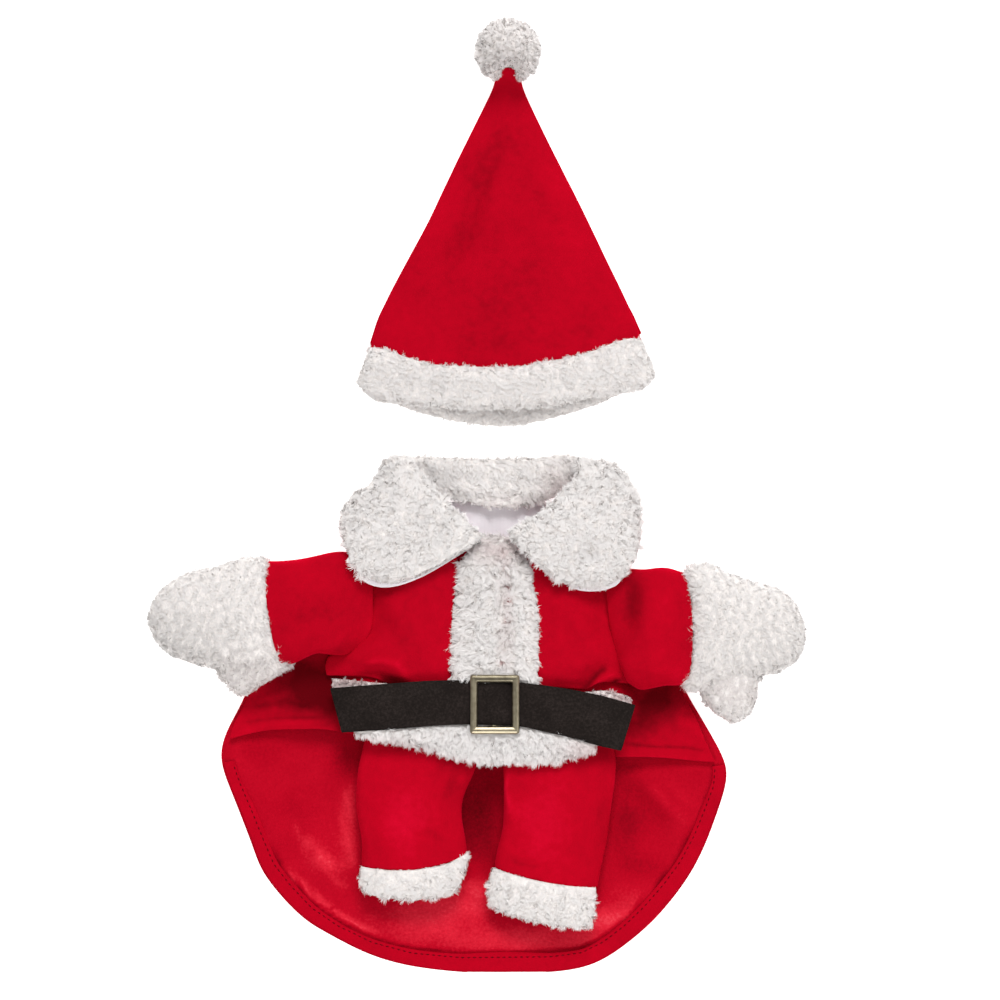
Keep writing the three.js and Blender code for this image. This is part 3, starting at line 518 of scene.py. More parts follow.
def tricotShader(tree, patterns, look):
    # tricot lining: smooth fine knit with a slight cool gloss; its rows are drawn coarse so that they show
    rows = addNode(tree, "ShaderNodeTexWave", {
        "Vector": patterns["place"], "Scale": metre / look["rows"] / math.tau, "Distortion": 1.0,
        "Detail": 1.0}, out="Fac")
    tone = layered(tree, patterns["cloud"], (rows, look["rowShare"]))
    colour = addNode(tree, "ShaderNodeValToRGB", {"Fac": tone}, stops=look["colours"])
    bump = addNode(tree, "ShaderNodeBump", {"Height": rows, "Strength": 0.05, "Distance": 0.2 * mm})
    return addNode(tree, "ShaderNodeBsdfPrincipled", {
        "Base Color": colour, "Roughness": 0.55, "Specular IOR Level": 0.3, "Sheen Weight": 0.1,
        "Normal": bump})


lining = makeMaterial("tricot_lining", tricotShader, {
    "noises": {"cloud": (14.0, 2.0, 0.5)}, "rows": 1.1, "rowShare": 0.06,
    "colours": [(0.3, "ebe5ea"), (0.8, "f8f4f8")]})


def webbingShader(tree, patterns, look):
    # felted webbing: matt black, a little dusty, with lint about a millimetre wide and faint broad clouds
    tone = layered(tree, patterns["lint"], (patterns["felt"], 0.15), (patterns["cloud"], 0.35))
    colour = addNode(tree, "ShaderNodeValToRGB", {"Fac": tone}, stops=look["colours"])
    bump = addNode(tree, "ShaderNodeBump", {"Height": tone, "Strength": 0.35, "Distance": 0.4 * mm})
    return addNode(tree, "ShaderNodeBsdfPrincipled", {
        "Base Color": colour, "Roughness": 0.95, "Specular IOR Level": 0.08, "Normal": bump})


webbing = makeMaterial("black_felted_webbing", webbingShader, {
    "noises": {"felt": (0.9, 1.0, 0.5), "lint": (1.3, 4.0, 0.7), "cloud": (16.0, 2.0, 0.5)},
    "colours": [(0.3, "110d0c"), (0.7, "1b1614"), (1.0, "2d2624")]})


def nickelShader(tree, patterns, look):
    # zinc die casting with satin nickel plate: warm pale metal, soft highlights along its bevels
    colour = addNode(tree, "ShaderNodeValToRGB", {"Fac": patterns["haze"]}, stops=look["colours"])
    rough = addNode(tree, "ShaderNodeMapRange", {"Value": patterns["haze"], "To Min": 0.28, "To Max": 0.42})
    return addNode(tree, "ShaderNodeBsdfPrincipled",
                   {"Base Color": colour, "Metallic": 1.0, "Roughness": rough})


nickel = makeMaterial("satin_nickel_zinc", nickelShader, {
    "noises": {"haze": (3.0, 3.0, 0.5)}, "colours": [(0.3, "857c68"), (0.7, "9f967f")]})


def threadShader(tree, patterns, look):
    # twisted polyester sewing thread, a shade deeper than the velour
    colour = addNode(tree, "ShaderNodeValToRGB", {"Fac": patterns["twist"]}, stops=look["colours"])
    return addNode(tree, "ShaderNodeBsdfPrincipled", {
        "Base Color": colour, "Roughness": 0.8, "Specular IOR Level": 0.05})


redThread = makeMaterial("red_sewing_thread", threadShader, {
    "noises": {"twist": (0.8, 2.0, 0.5)}, "colours": [(0.3, "4c030c"), (0.7, "6e0614")]})
print("materials made")


def dress(piece, material, slot, *nodes):
    piece.data.materials.clear()
    piece.data.materials.append(material)
    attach(piece, "root")
    if nodes:
        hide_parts(*nodes)
    return piece


def makeCloth(look):
    # a cloth piece, in velour unless its settings say otherwise
    look = {"material": velourRight, "slot": "red_velour", "levels": 2, **look}
    piece = clothFrom(look)
    dress(piece, look["material"], look["slot"], look["node"])
    print("cloth", look["name"], len(piece.data.polygons))
    return piece


def makeBoa(look):
    # a boa piece: its ground on the solid's form, a little smaller, and the pile on it
    look = {"material": boaGround, "slot": "white_boa", "levels": 1, "firmness": 0.3, "inset": 1.5, **look}
    base = makeCloth(look)
    if "seam" in look:
        line, wide = look["seam"]
        places = pointsOf(base.data) / mm
        distance, _, _ = besideLine(places[:, :2] - suitPlace, line)
        setValues(base.data, "seam", np.exp(-((distance / wide) ** 2)))
    pile = dress(pileOn(base, look["name"] + "_pile", look["fur"]), boaFibre, "white_boa")


# cape: the back panel, wrong side up, with a narrow turned hem; hemOutline follows its edge, and seamInset
# gives the stitches' distance from that edge at shares of its length
hemOutline = [(-152.5, -34), (-148, -48), (-142, -63), (-136, -79), (-130, -94), (-120, -107.5),
              (-107, -120.5), (-91, -130.5), (-71, -140.5), (-48, -147.5), (-19.5, -151), (6, -151.6),
              (32, -151), (51, -148), (65, -141), (77.5, -132), (89.5, -121), (101, -107.5), (110.5, -93.5),
              (118.5, -77), (124, -62),
              (128.5, -48), (129, -35)]
seamInset = [(0, 5.4), (0.24, 7.6), (0.33, 6.0), (0.5, 9.0), (0.62, 8.0), (0.74, 9.0), (1, 5.4)]
outline = np.array(hemOutline, float)
tangent = unit(np.gradient(outline, axis=0))
inward = np.column_stack([-tangent[:, 1], tangent[:, 0]])
insets = np.interp(np.linspace(0, 1, len(outline)), *zip(*seamInset))
cape = {
    "name": "cape", "node": "back_panel", "material": velourWrong, "firmness": 0.5,
    "folds": [
        fold([(69, -41), (86, -66), (106, -88)], -2.6, 5.5),
        fold([(75, -35), (96, -56), (112, -70)], 2.8, 5.5, dip=0.4),
        fold([(64, -60), (76, -84), (90, -100)], 2.2, 6),
        fold([(-140, -28), (-132, -56), (-118, -92)], 1.0, 7, dip=-0.5),
        fold([(-108, -40), (-106, -66), (-96, -90), (-84, -104)], 2.0, 7, dip=0.4),
        fold([(-84, -30), (-86, -60), (-82, -96)], 1.4, 5),
        fold([(30, -122), (60, -116), (92, -96)], 1.6, 8),
        fold([(-88, -112), (-52, -128), (-10, -134)], 0.9, 5),
    ],
    "uneven": [(60, 0.5, 11), (22, 0.2, 12)],
    # these marks are partly painted light: painted shade between the legs and in the folds, painted light
    # towards the lower edge, beside crushed and rubbed patches
    "nap_and_painted_light": [(-38, -121, 32, 11, 0.26), (24, -134, 52, 9, 0.26), (84, -114, 24, 12, 0.24),
            (-11, -104, 15, 11, 0.36), (62, -121, 26, 7, 0.26), (-10, -62, 16, 34, -0.42),
            (80, -91, 16, 8, -0.16), (74, -62, 7, 26, -0.2), (70, -36, 20, 4, -0.14),
            (-138, -28, 14, 8, -0.1),
            (-84, -28, 8, 14, -0.2), (-118, -50, 16, 22, -0.04), (104, -52, 12, 10, 0.05),
            (-100, -92, 14, 12, 0.06), (84, -64, 12, 12, -0.1)],
    "rubbed_and_painted_light": [([(-121, -88), (-116, -95), (-104, -106), (-90, -117), (-73, -127), (-60, -131)], 2.2, 0.3),
               ([(-143, -19), (-143, -36)], 1.8, 0.2),
               ([(-81, -38), (-83, -60), (-82, -78), (-79, -100)], 4.5, 0.26),
               ([(-117, -58), (-111, -74), (-106, -84), (-98, -96)], 2.2, 0.14),
               ([(-108, -72), (-96, -86), (-80, -96)], 3.6, 0.15),
               ([(-114, -66), (-102, -82), (-90, -92)], 1.6, 0.12), ([(-108, -49), (-103, -56)], 1.6, 0.16),
               ([(-98, -86), (-90, -98), (-80, -106)], 3.0, 0.14),
               ([(-60, -104), (-30, -112), (0, -118)], 4, 0.12),
               ([(86, -44), (98, -58), (110, -70)], 2.2, 0.16), ([(96, -44), (112, -58)], 2.0, 0.1),
               # a painted shadow line along the inner edge of the turned hem
               (outline + inward * (insets[:, None] + 2.6), 1.1, -0.34)],
}
capePiece = makeCloth(cape)
capeHem = {"name": "cape_hem", "node": "back_hem", "firmness": 0.5, "uneven": [(14, 0.25, 21)]}
capeHemPiece = makeCloth(capeHem)
sewing = {"stitch": 2.4, "gap": 0.9, "thread": 0.75}
seamLine = outline + inward * insets[:, None] + suitPlace
capeStitches = dress(stitchesOn("cape_stitches", seamLine, capeHemPiece, sewing), redThread, "red_velour")

# belly: the chest panel that lies hollow over the cape
belly = {
    "name": "belly", "node": "chest_panel", "levels": 3, "firmness": 0.5,
    "folds": [
        fold([(-145, -11), (-124, -8), (-92, -8)], -0.3, 1.8, end=0.1),
        fold([(72, -23), (90, -24.5), (108, -25), (120, -28)], -0.5, 1.8, end=0.1),
        fold([(-138, -2), (-118, 0), (-98, -3)], -1.2, 2.5, dip=0.5),
        fold([(-112, 30), (-120, 8), (-126, -10)], 1.0, 7),
        fold([(84, 20), (92, 2), (98, -18)], 1.2, 6),
    ],
    "uneven": [(34, 0.4, 31)],
    # these marks paint shade under the sleeves and beside the belt, and painted highlights and shadow lines
    # along the hem
    "nap_and_painted_light": [(-102, 8, 20, 14, -0.64), (-116, 24, 16, 12, -0.2), (-90, -2, 8, 12, -0.24),
            (92, 2, 16, 15, -0.5),
            (80, -12, 8, 12, -0.26), (-134, -4, 10, 5, -0.08)],
    "rubbed_and_painted_light": [([(-148, -18), (-126, -12), (-93, -10)], 1.5, 0.1),
               ([(69, -30), (95, -31), (124, -34)], 1.5, 0.16),
               ([(-145, -11.5), (-124, -8.5), (-92, -8)], 1.1, -0.12),
               ([(66, -22), (90, -24.5), (108, -25), (122, -28)], 0.9, -0.24),
               ([(-138, -2), (-118, 0), (-98, -3)], 1.6, -0.12),
               ([(100, -8), (112, -14), (120, -22)], 2, 0.1)],
}
bellyPiece = makeCloth(belly)

# neck: smooth lining at the bottom of the opening
neck = {"name": "neck_facing", "node": "neck_lining", "material": lining, "slot": "white_lining",
        "uneven": [(18, 0.15, 41)]}
neckPiece = makeCloth(neck)

# jacket fronts: velour that puffs over the belt
# the jackets' marks paint shade under the puffed lower edge and the collar, and a highlight along the ridge
# above it
jackets = [
    {"name": "jacket_front_left", "node": "jacket_left", "flat": (0.075, 0.098), "area": 0.0046,
     "folds": [
         fold([(-82, 19), (-72, 22.5), (-62, 23.5), (-54, 21), (-43, 14)], 2.6, 3.2, dip=0.6),
         fold([(-68, 66), (-67, 46), (-71, 35), (-80, 27)], -1.2, 2.2),
         fold([(-62, 62), (-52, 44), (-44, 30)], 0.9, 6),
         fold([(-36, 80), (-33, 56), (-34, 34)], 0.8, 6),
         fold([(-86, 25), (-72, 30), (-60, 40)], 0.9, 4, dip=-0.4),
     ],
     "drags": [([(-92, 16), (-70, 16)], 5, (0, -1.5, 0.6)), ([(-60, 15), (-26, 14)], 6, (0, -5, 0)),
               ([(-76, 32), (-90, 26)], 5, (-3, 3, 0.5)),
               ([(-70, 64), (-69, 46), (-73, 36)], 3.5, (-2.5, 0, 1.5)),
               ([(-22, 72), (-24, 60), (-26, 20)], 5, (2.2, 0, 0))],
     "nap_and_painted_light": [(-62, 52, 9, 16, -0.03), (-56, 66, 16, 5, -0.08), (-84, 26, 8, 6, -0.06),
             (-34, 30, 8, 14, 0.06)],
     "rubbed_and_painted_light": [([(-66, 16), (-57, 17), (-49, 15), (-44, 12)], 2.4, -0.5),
                ([(-74, 22), (-64, 25), (-55, 23), (-46, 17)], 1.8, 0.16),
                ([(-70, 62), (-69, 48), (-73, 38), (-82, 32)], 1.6, -0.2),
                ([(-90, 19), (-80, 20), (-72, 19)], 2, 0.1)]},
    {"name": "jacket_front_right", "node": "jacket_right", "flat": (0.058, 0.102), "area": 0.0041,
     "folds": [
         fold([(43, 11), (54, 16), (65, 22)], -1.6, 3),
         fold([(29, 19), (44, 21), (58, 24)], 1.4, 4, dip=0.4),
         fold([(45, 9), (58, 13), (70, 17)], 1.6, 3),
         fold([(58, 6), (64, 9), (70, 13)], -1.3, 2),
         fold([(62, 62), (64, 43), (68, 31), (74, 16)], -1.2, 2.4),
         fold([(30, 64), (40, 48), (54, 36)], 0.8, 6),
     ],
     "drags": [([(25, 15), (50, 12)], 6, (0, -5, 0)), ([(60, 12), (76, 8)], 5, (0, 0.5, 0.6)),
               ([(63, 62), (64, 46), (68, 30), (74, 12)], 3.5, (2.8, 0, 1.5)),
               ([(21, 74), (25, 60), (26, 20)], 5, (-2.2, 0, 0))],
     "nap_and_painted_light": [(38, 66, 16, 6, -0.1), (58, 60, 5, 16, -0.06), (34, 34, 8, 14, 0.05)],
     "rubbed_and_painted_light": [([(44, 10), (54, 15), (64, 21)], 1.8, -0.34), ([(57, 7), (64, 10), (71, 14)], 1.5, -0.4),
                ([(50, 9), (60, 13), (70, 18)], 1.6, 0.16), ([(63, 60), (65, 44), (69, 30)], 1.6, -0.2)]},
]
for jacket in jackets:
    made = makeCloth({"levels": 3, "firmness": 0.5, "uneven": [(20, 0.35, 51), (9, 0.1, 52)], **jacket})

# upper arms: lightly stuffed velour
# the sleeves' marks paint shade in the folds and light along their lower edges
sleeves = [
    {"name": "upper_arm_left", "node": "sleeve_left",
     "folds": [
         fold([(-109, 23), (-98, 28), (-85, 33), (-75, 39)], 1.8, 4, dip=0.5),
         fold([(-72, 72), (-70, 52), (-73, 38)], -1.5, 3),
         fold([(-118, 66), (-100, 62), (-84, 70)], 0.8, 5),
         fold([(-120, 44), (-104, 46), (-88, 52)], -0.8, 5),
     ],
     "nap_and_painted_light": [(-100, 50, 16, 9, -0.08), (-84, 28, 10, 6, -0.16), (-104, 70, 14, 6, 0.08)],
     "drags": [([(-119, 21), (-127, 79)], 5, (-0.8, 0, -0.6)),
               ([(-70, 66), (-70, 48), (-76, 36)], 4, (1.5, 0, -1.2))]},
    {"name": "upper_arm_right", "node": "sleeve_right",
     "folds": [
         fold([(78, 74), (76, 60), (75, 46), (77, 34)], -3.2, 5),
         fold([(92, 70), (94, 50), (92, 30)], 1.0, 7),
         fold([(80, 22), (92, 17), (104, 18)], 0.9, 4),
     ],
     "nap_and_painted_light": [(77, 60, 6, 20, -0.27), (106, 44, 6, 22, -0.1), (92, 46, 8, 20, 0.08), (96, 16, 14, 5, 0.12)],
     "drags": [([(105, 72), (106, 10)], 5, (1.2, 0, -0.6)),
               ([(76, 24), (79, 15), (86, 10)], 5, (-4, -1.5, -0.5)),
               ([(64, 66), (66, 46), (70, 30)], 4, (-1.5, 0, -1.2))]},
]
for sleeve in sleeves:
    made = makeCloth({"firmness": 0.4, "topOnly": True, "uneven": [(22, 0.4, 61), (8, 0.1, 62)], **sleeve})

# trouser legs: open velour tubes
# the legs' marks paint light on the middle of each leg and shade at the top and in the creases
legs = [
    {"name": "trouser_left", "node": "leg_left", "flat": (0.145, 0.092), "area": 0.0102,
     "folds": [
         fold([(-70, -24), (-75, -40), (-77, -56), (-72, -76), (-73, -90)], 1.0, 3, end=0.1),
         fold([(-23, -30), (-30, -44), (-35, -56), (-30, -76)], 1.2, 3, end=0.2),
         fold([(-52, -30), (-48, -56), (-52, -80)], 0.8, 9),
         fold([(-36, -68), (-44, -72), (-54, -70)], -0.8, 4),
     ],
     "nap_and_painted_light": [(-26, -40, 7, 18, -0.16), (-50, -66, 16, 24, 0.22), (-44, -22, 26, 5, -0.14)],
     "rubbed_and_painted_light": [([(-28, -78), (-36, -72), (-46, -72)], 2, -0.14),
                ([(-24, -32), (-30, -46), (-33, -58), (-28, -76)], 1.6, 0.12)],
     "drags": [([(-74, -89), (-44, -90), (-15, -83)], 4, (0, -2.2, 0))]},
    {"name": "trouser_right", "node": "leg_right", "flat": (0.142, 0.094), "area": 0.0108,
     "folds": [
         fold([(8, -32), (4, -43), (7, -57), (11, -68)], 1.2, 2.6, end=0.15),
         fold([(4, -78), (14, -83), (26, -85)], -0.8, 3),
         fold([(40, -34), (36, -60), (38, -88)], 0.8, 9),
         fold([(58, -36), (56, -60), (52, -90)], 0.7, 4, end=0.15),
     ],
     "nap_and_painted_light": [(30, -66, 20, 26, 0.22), (50, -28, 20, 6, -0.14), (60, -60, 4, 30, -0.08)],
     "rubbed_and_painted_light": [([(8, -36), (6, -48), (9, -60)], 1.2, 0.2), ([(8, -86), (16, -89), (26, -91)], 1.6, -0.16)],
     "drags": [([(2, -92), (30, -98), (58, -102)], 5, (0, -2.2, 0))]},
]
for leg in legs:
    made = makeCloth({"firmness": 0.4, "topOnly": True, "uneven": [(24, 0.35, 71), (10, 0.12, 72)], **leg})

# hat: two velour cuts, the upper one creased from the tip
hatFront = {
    "name": "hat_upper", "node": "hat_front", "firmness": 0.4, "origin": hatPlace,
    "uneven": [(40, 0.6, 81), (13, 0.15, 82)],
    "folds": [
        fold([(-4, 158), (-2, 138), (-13, 111), (-23, 82), (-34, 63), (-45, 50)], -3.0, 6, end=0.25),
        fold([(4, 150), (0, 120), (-7, 92), (-14, 66)], 2.2, 7),
        fold([(-12, 138), (-24, 106), (-36, 78)], 1.4, 7),
        fold([(-1, 138), (6, 125), (25, 92), (31, 80)], -0.9, 5),
        fold([(16, 18), (42, 29), (62, 33)], -1.0, 5),
        fold([(-44, 12), (-42, 22), (-46, 34)], -0.9, 4),
        fold([(-30, 8), (-28, 18), (-30, 28)], -0.7, 4),
    ],
    "drags": [([(-6, 172), (7, 172)], 6, (0, 6, 18))],
    # these marks paint light at both sides and shade down the creases and across the lower middle
    "nap_and_painted_light": [(4, 50, 30, 34, -0.09), (-36, 84, 14, 30, 0.08), (26, 100, 12, 34, 0.12), (-14, 140, 8, 18, 0.06),
            (0, 20, 50, 8, -0.06)],
    "rubbed_and_painted_light": [([(-5, 160), (-5, 140), (-15, 111), (-25, 82), (-36, 60), (-42, 52)], 8, -0.14),
               ([(-1, 140), (6, 125), (25, 92), (31, 80)], 7, -0.1),
               ([(20, 19), (42, 28), (58, 32)], 5, -0.05)],
}
hatFrontPiece = makeCloth(hatFront)
hatBack = {"name": "hat_under", "node": "hat_back", "firmness": 0.4, "origin": hatPlace,
           "uneven": [(40, 0.15, 83)]}
hatBackPiece = makeCloth(hatBack)

# belt: felted webbing threaded through the slider
belt = {"name": "belt_webbing", "node": "belt", "material": webbing, "slot": "black_webbing", "firmness": 0.8,
        "uneven": [(30, 0.2, 91)]}
beltPiece = makeCloth(belt)

# slider: a cast frame with its bar behind the webbing, two posts and a small sprue mark; section is the
# outline of the frame's limb as (distance in from its outer edge, height), and all lengths are in mm
slider = {"width": 27.6, "height": 33.2, "bar": 4.3, "corner": 1.7, "windowCorner": 0.35, "cornerSteps": 6,
          "centre": (10, -116.4, 26.0), "slope": -0.155, "blockEdge": 0.25, "edge": 0.12,
          "section": [(0.0, -1.4), (0.0, 0.3), (0.35, 0.9), (1.35, 1.5), (2.0, 1.5), (3.4, 1.25), (4.1, 0.5),
                      (4.3, -0.2), (4.3, -1.4)]}


def roundedRing(halfW, halfH, corner, steps, height):
    # a rectangle with rounded corners
    ring = []
    for k, (sx, sy) in enumerate([(1, 1), (-1, 1), (-1, -1), (1, -1)]):
        for step in range(steps + 1):
            turn = math.pi / 2 * (k + step / steps)
            x = sx * (halfW - corner) + corner * math.cos(turn)
            y = sy * (halfH - corner) + corner * math.sin(turn)
            ring.append((x, y, height))
    return ring


def makeSlider(look):
    bm = bmesh.new()
    rings = []
    for inset, z in look["section"]:
        corner = max(look["corner"] - inset, look["windowCorner"])
        ring = roundedRing(look["width"] / 2 - inset, look["height"] / 2 - inset, corner, look["cornerSteps"],
                           z)
        rings.append([bm.verts.new(place) for place in ring])
    for ring, following in zip(rings, rings[1:] + rings[:1]):
        for k in range(len(ring)):
            after = (k + 1) % len(ring)
            bm.faces.new([ring[k], ring[after], following[after], following[k]])
    inner = look["height"] / 2 - look["bar"]
    # width, length, thickness and centre of the bar, of the post at each end of it and of the sprue mark
    blocks = [(3.6, 2 * inner + 2, 1.2, 0, 0, -3.9), (3.6, 1.4, 4.2, 0, inner + 0.9, -2.4),
              (3.6, 1.4, 4.2, 0, -inner - 0.9, -2.4), (1.5, 0.9, 0.7, -0.6, -inner + 0.1, 0.2)]
    for width, length, thick, x, y, z in blocks:
        block = bmesh.ops.create_cube(bm, size=1)["verts"]
        bmesh.ops.scale(bm, vec=(width, length, thick), verts=block)
        bmesh.ops.translate(bm, vec=(x, y, z), verts=block)
        edges = list({e for v in block for e in v.link_edges})
        bmesh.ops.bevel(bm, geom=edges, offset=look["blockEdge"], segments=2, affect="EDGES")
    bmesh.ops.recalc_face_normals(bm, faces=bm.faces)
    mesh = bpy.data.meshes.new("slider_frame")
    bm.to_mesh(mesh)
    bm.free()
    made = pointsOf(mesh)
    turn = math.atan(look["slope"])
    y = made[:, 1] * math.cos(turn) - made[:, 2] * math.sin(turn)
    z = made[:, 1] * math.sin(turn) + made[:, 2] * math.cos(turn)
    setPoints(mesh, (np.column_stack([made[:, 0], y, z]) + look["centre"]) * mm)
    piece = linked("slider_frame", mesh)
    smoothed = piece.modifiers.new("soft_edges", "BEVEL")
    smoothed.width, smoothed.segments = look["edge"] * mm, 2
    smoothed.limit_method, smoothed.angle_limit = "ANGLE", 0.5
    mesh.polygons.foreach_set("use_smooth", np.ones(len(mesh.polygons), bool))
    return piece


dress(makeSlider(slider), nickel, "buckle_metal", "buckle")
print("velour, lining, belt and slider made")


def outward(x, y, pull):
    # locks lean away from a point, given in mm in the part's frame
    def flow(root):
        way = root - np.array([x, y, 0])
        way[:, 2] = 0
        return pull * unit(way)
    return flow


def beside(x, pull, down, low):
    # locks lean away from a line that runs up and down, and down, most of all at the lower end
    def flow(root):
        side = np.tanh((root[:, 0] - x) / 6)
        fall = down + 0.4 * np.exp(-(((root[:, 1] - low) / 6) ** 2))
        return np.column_stack([side * pull, -fall, np.zeros(len(root))])
    return flow


def downward(pull):
    # locks hang towards the lower end of the set
    def flow(root):
        return np.column_stack([np.zeros(len(root)), np.full(len(root), -pull), np.zeros(len(root))])
    return flow


def combed(root):
    # locks of the neckband lie down and to the right in waves
    sway = 0.6 + 0.5 * np.sin(root[:, 0] / 5 + root[:, 1] / 3)
    return np.column_stack([sway * 0.8, np.full(len(root), -0.7), np.zeros(len(root))])


# pile settings, lengths in mm: clump and curl make the swirls, stand and loose say how upright and how stray
# a lock is, gather and perTuft make its tuft, crimp bends it, thick and roll are the ribbon's, and crisp and
# airy say how it takes the light
longPile = {"clump": 6.0, "curl": 1.0, "loose": 0.28, "stand": 0.42, "length": 4.0, "gather": 0.4,
            "perTuft": 9,
            "crimp": 0.1, "thick": 0.46, "roll": 0.14, "crisp": 0.22, "airy": 0.5}
shortPile = {"clump": 5.0, "curl": 1.1, "loose": 0.24, "stand": 0.36, "length": 2.6, "gather": 0.3,
             "perTuft": 8,
             "crimp": 0.14, "thick": 0.42, "roll": 0.12, "crisp": 0.18, "airy": 0.3}
wingPile = {**longPile, "length": 3.6, "crisp": 0.16, "airy": 0.7, "stand": 0.34, "loose": 0.24}
cuffPile = {**longPile, "length": 3.4, "flow": downward(0.6)}
mittenPile = {**shortPile, "locks": 25000, "crisp": 0.26, "gather": 0.36}
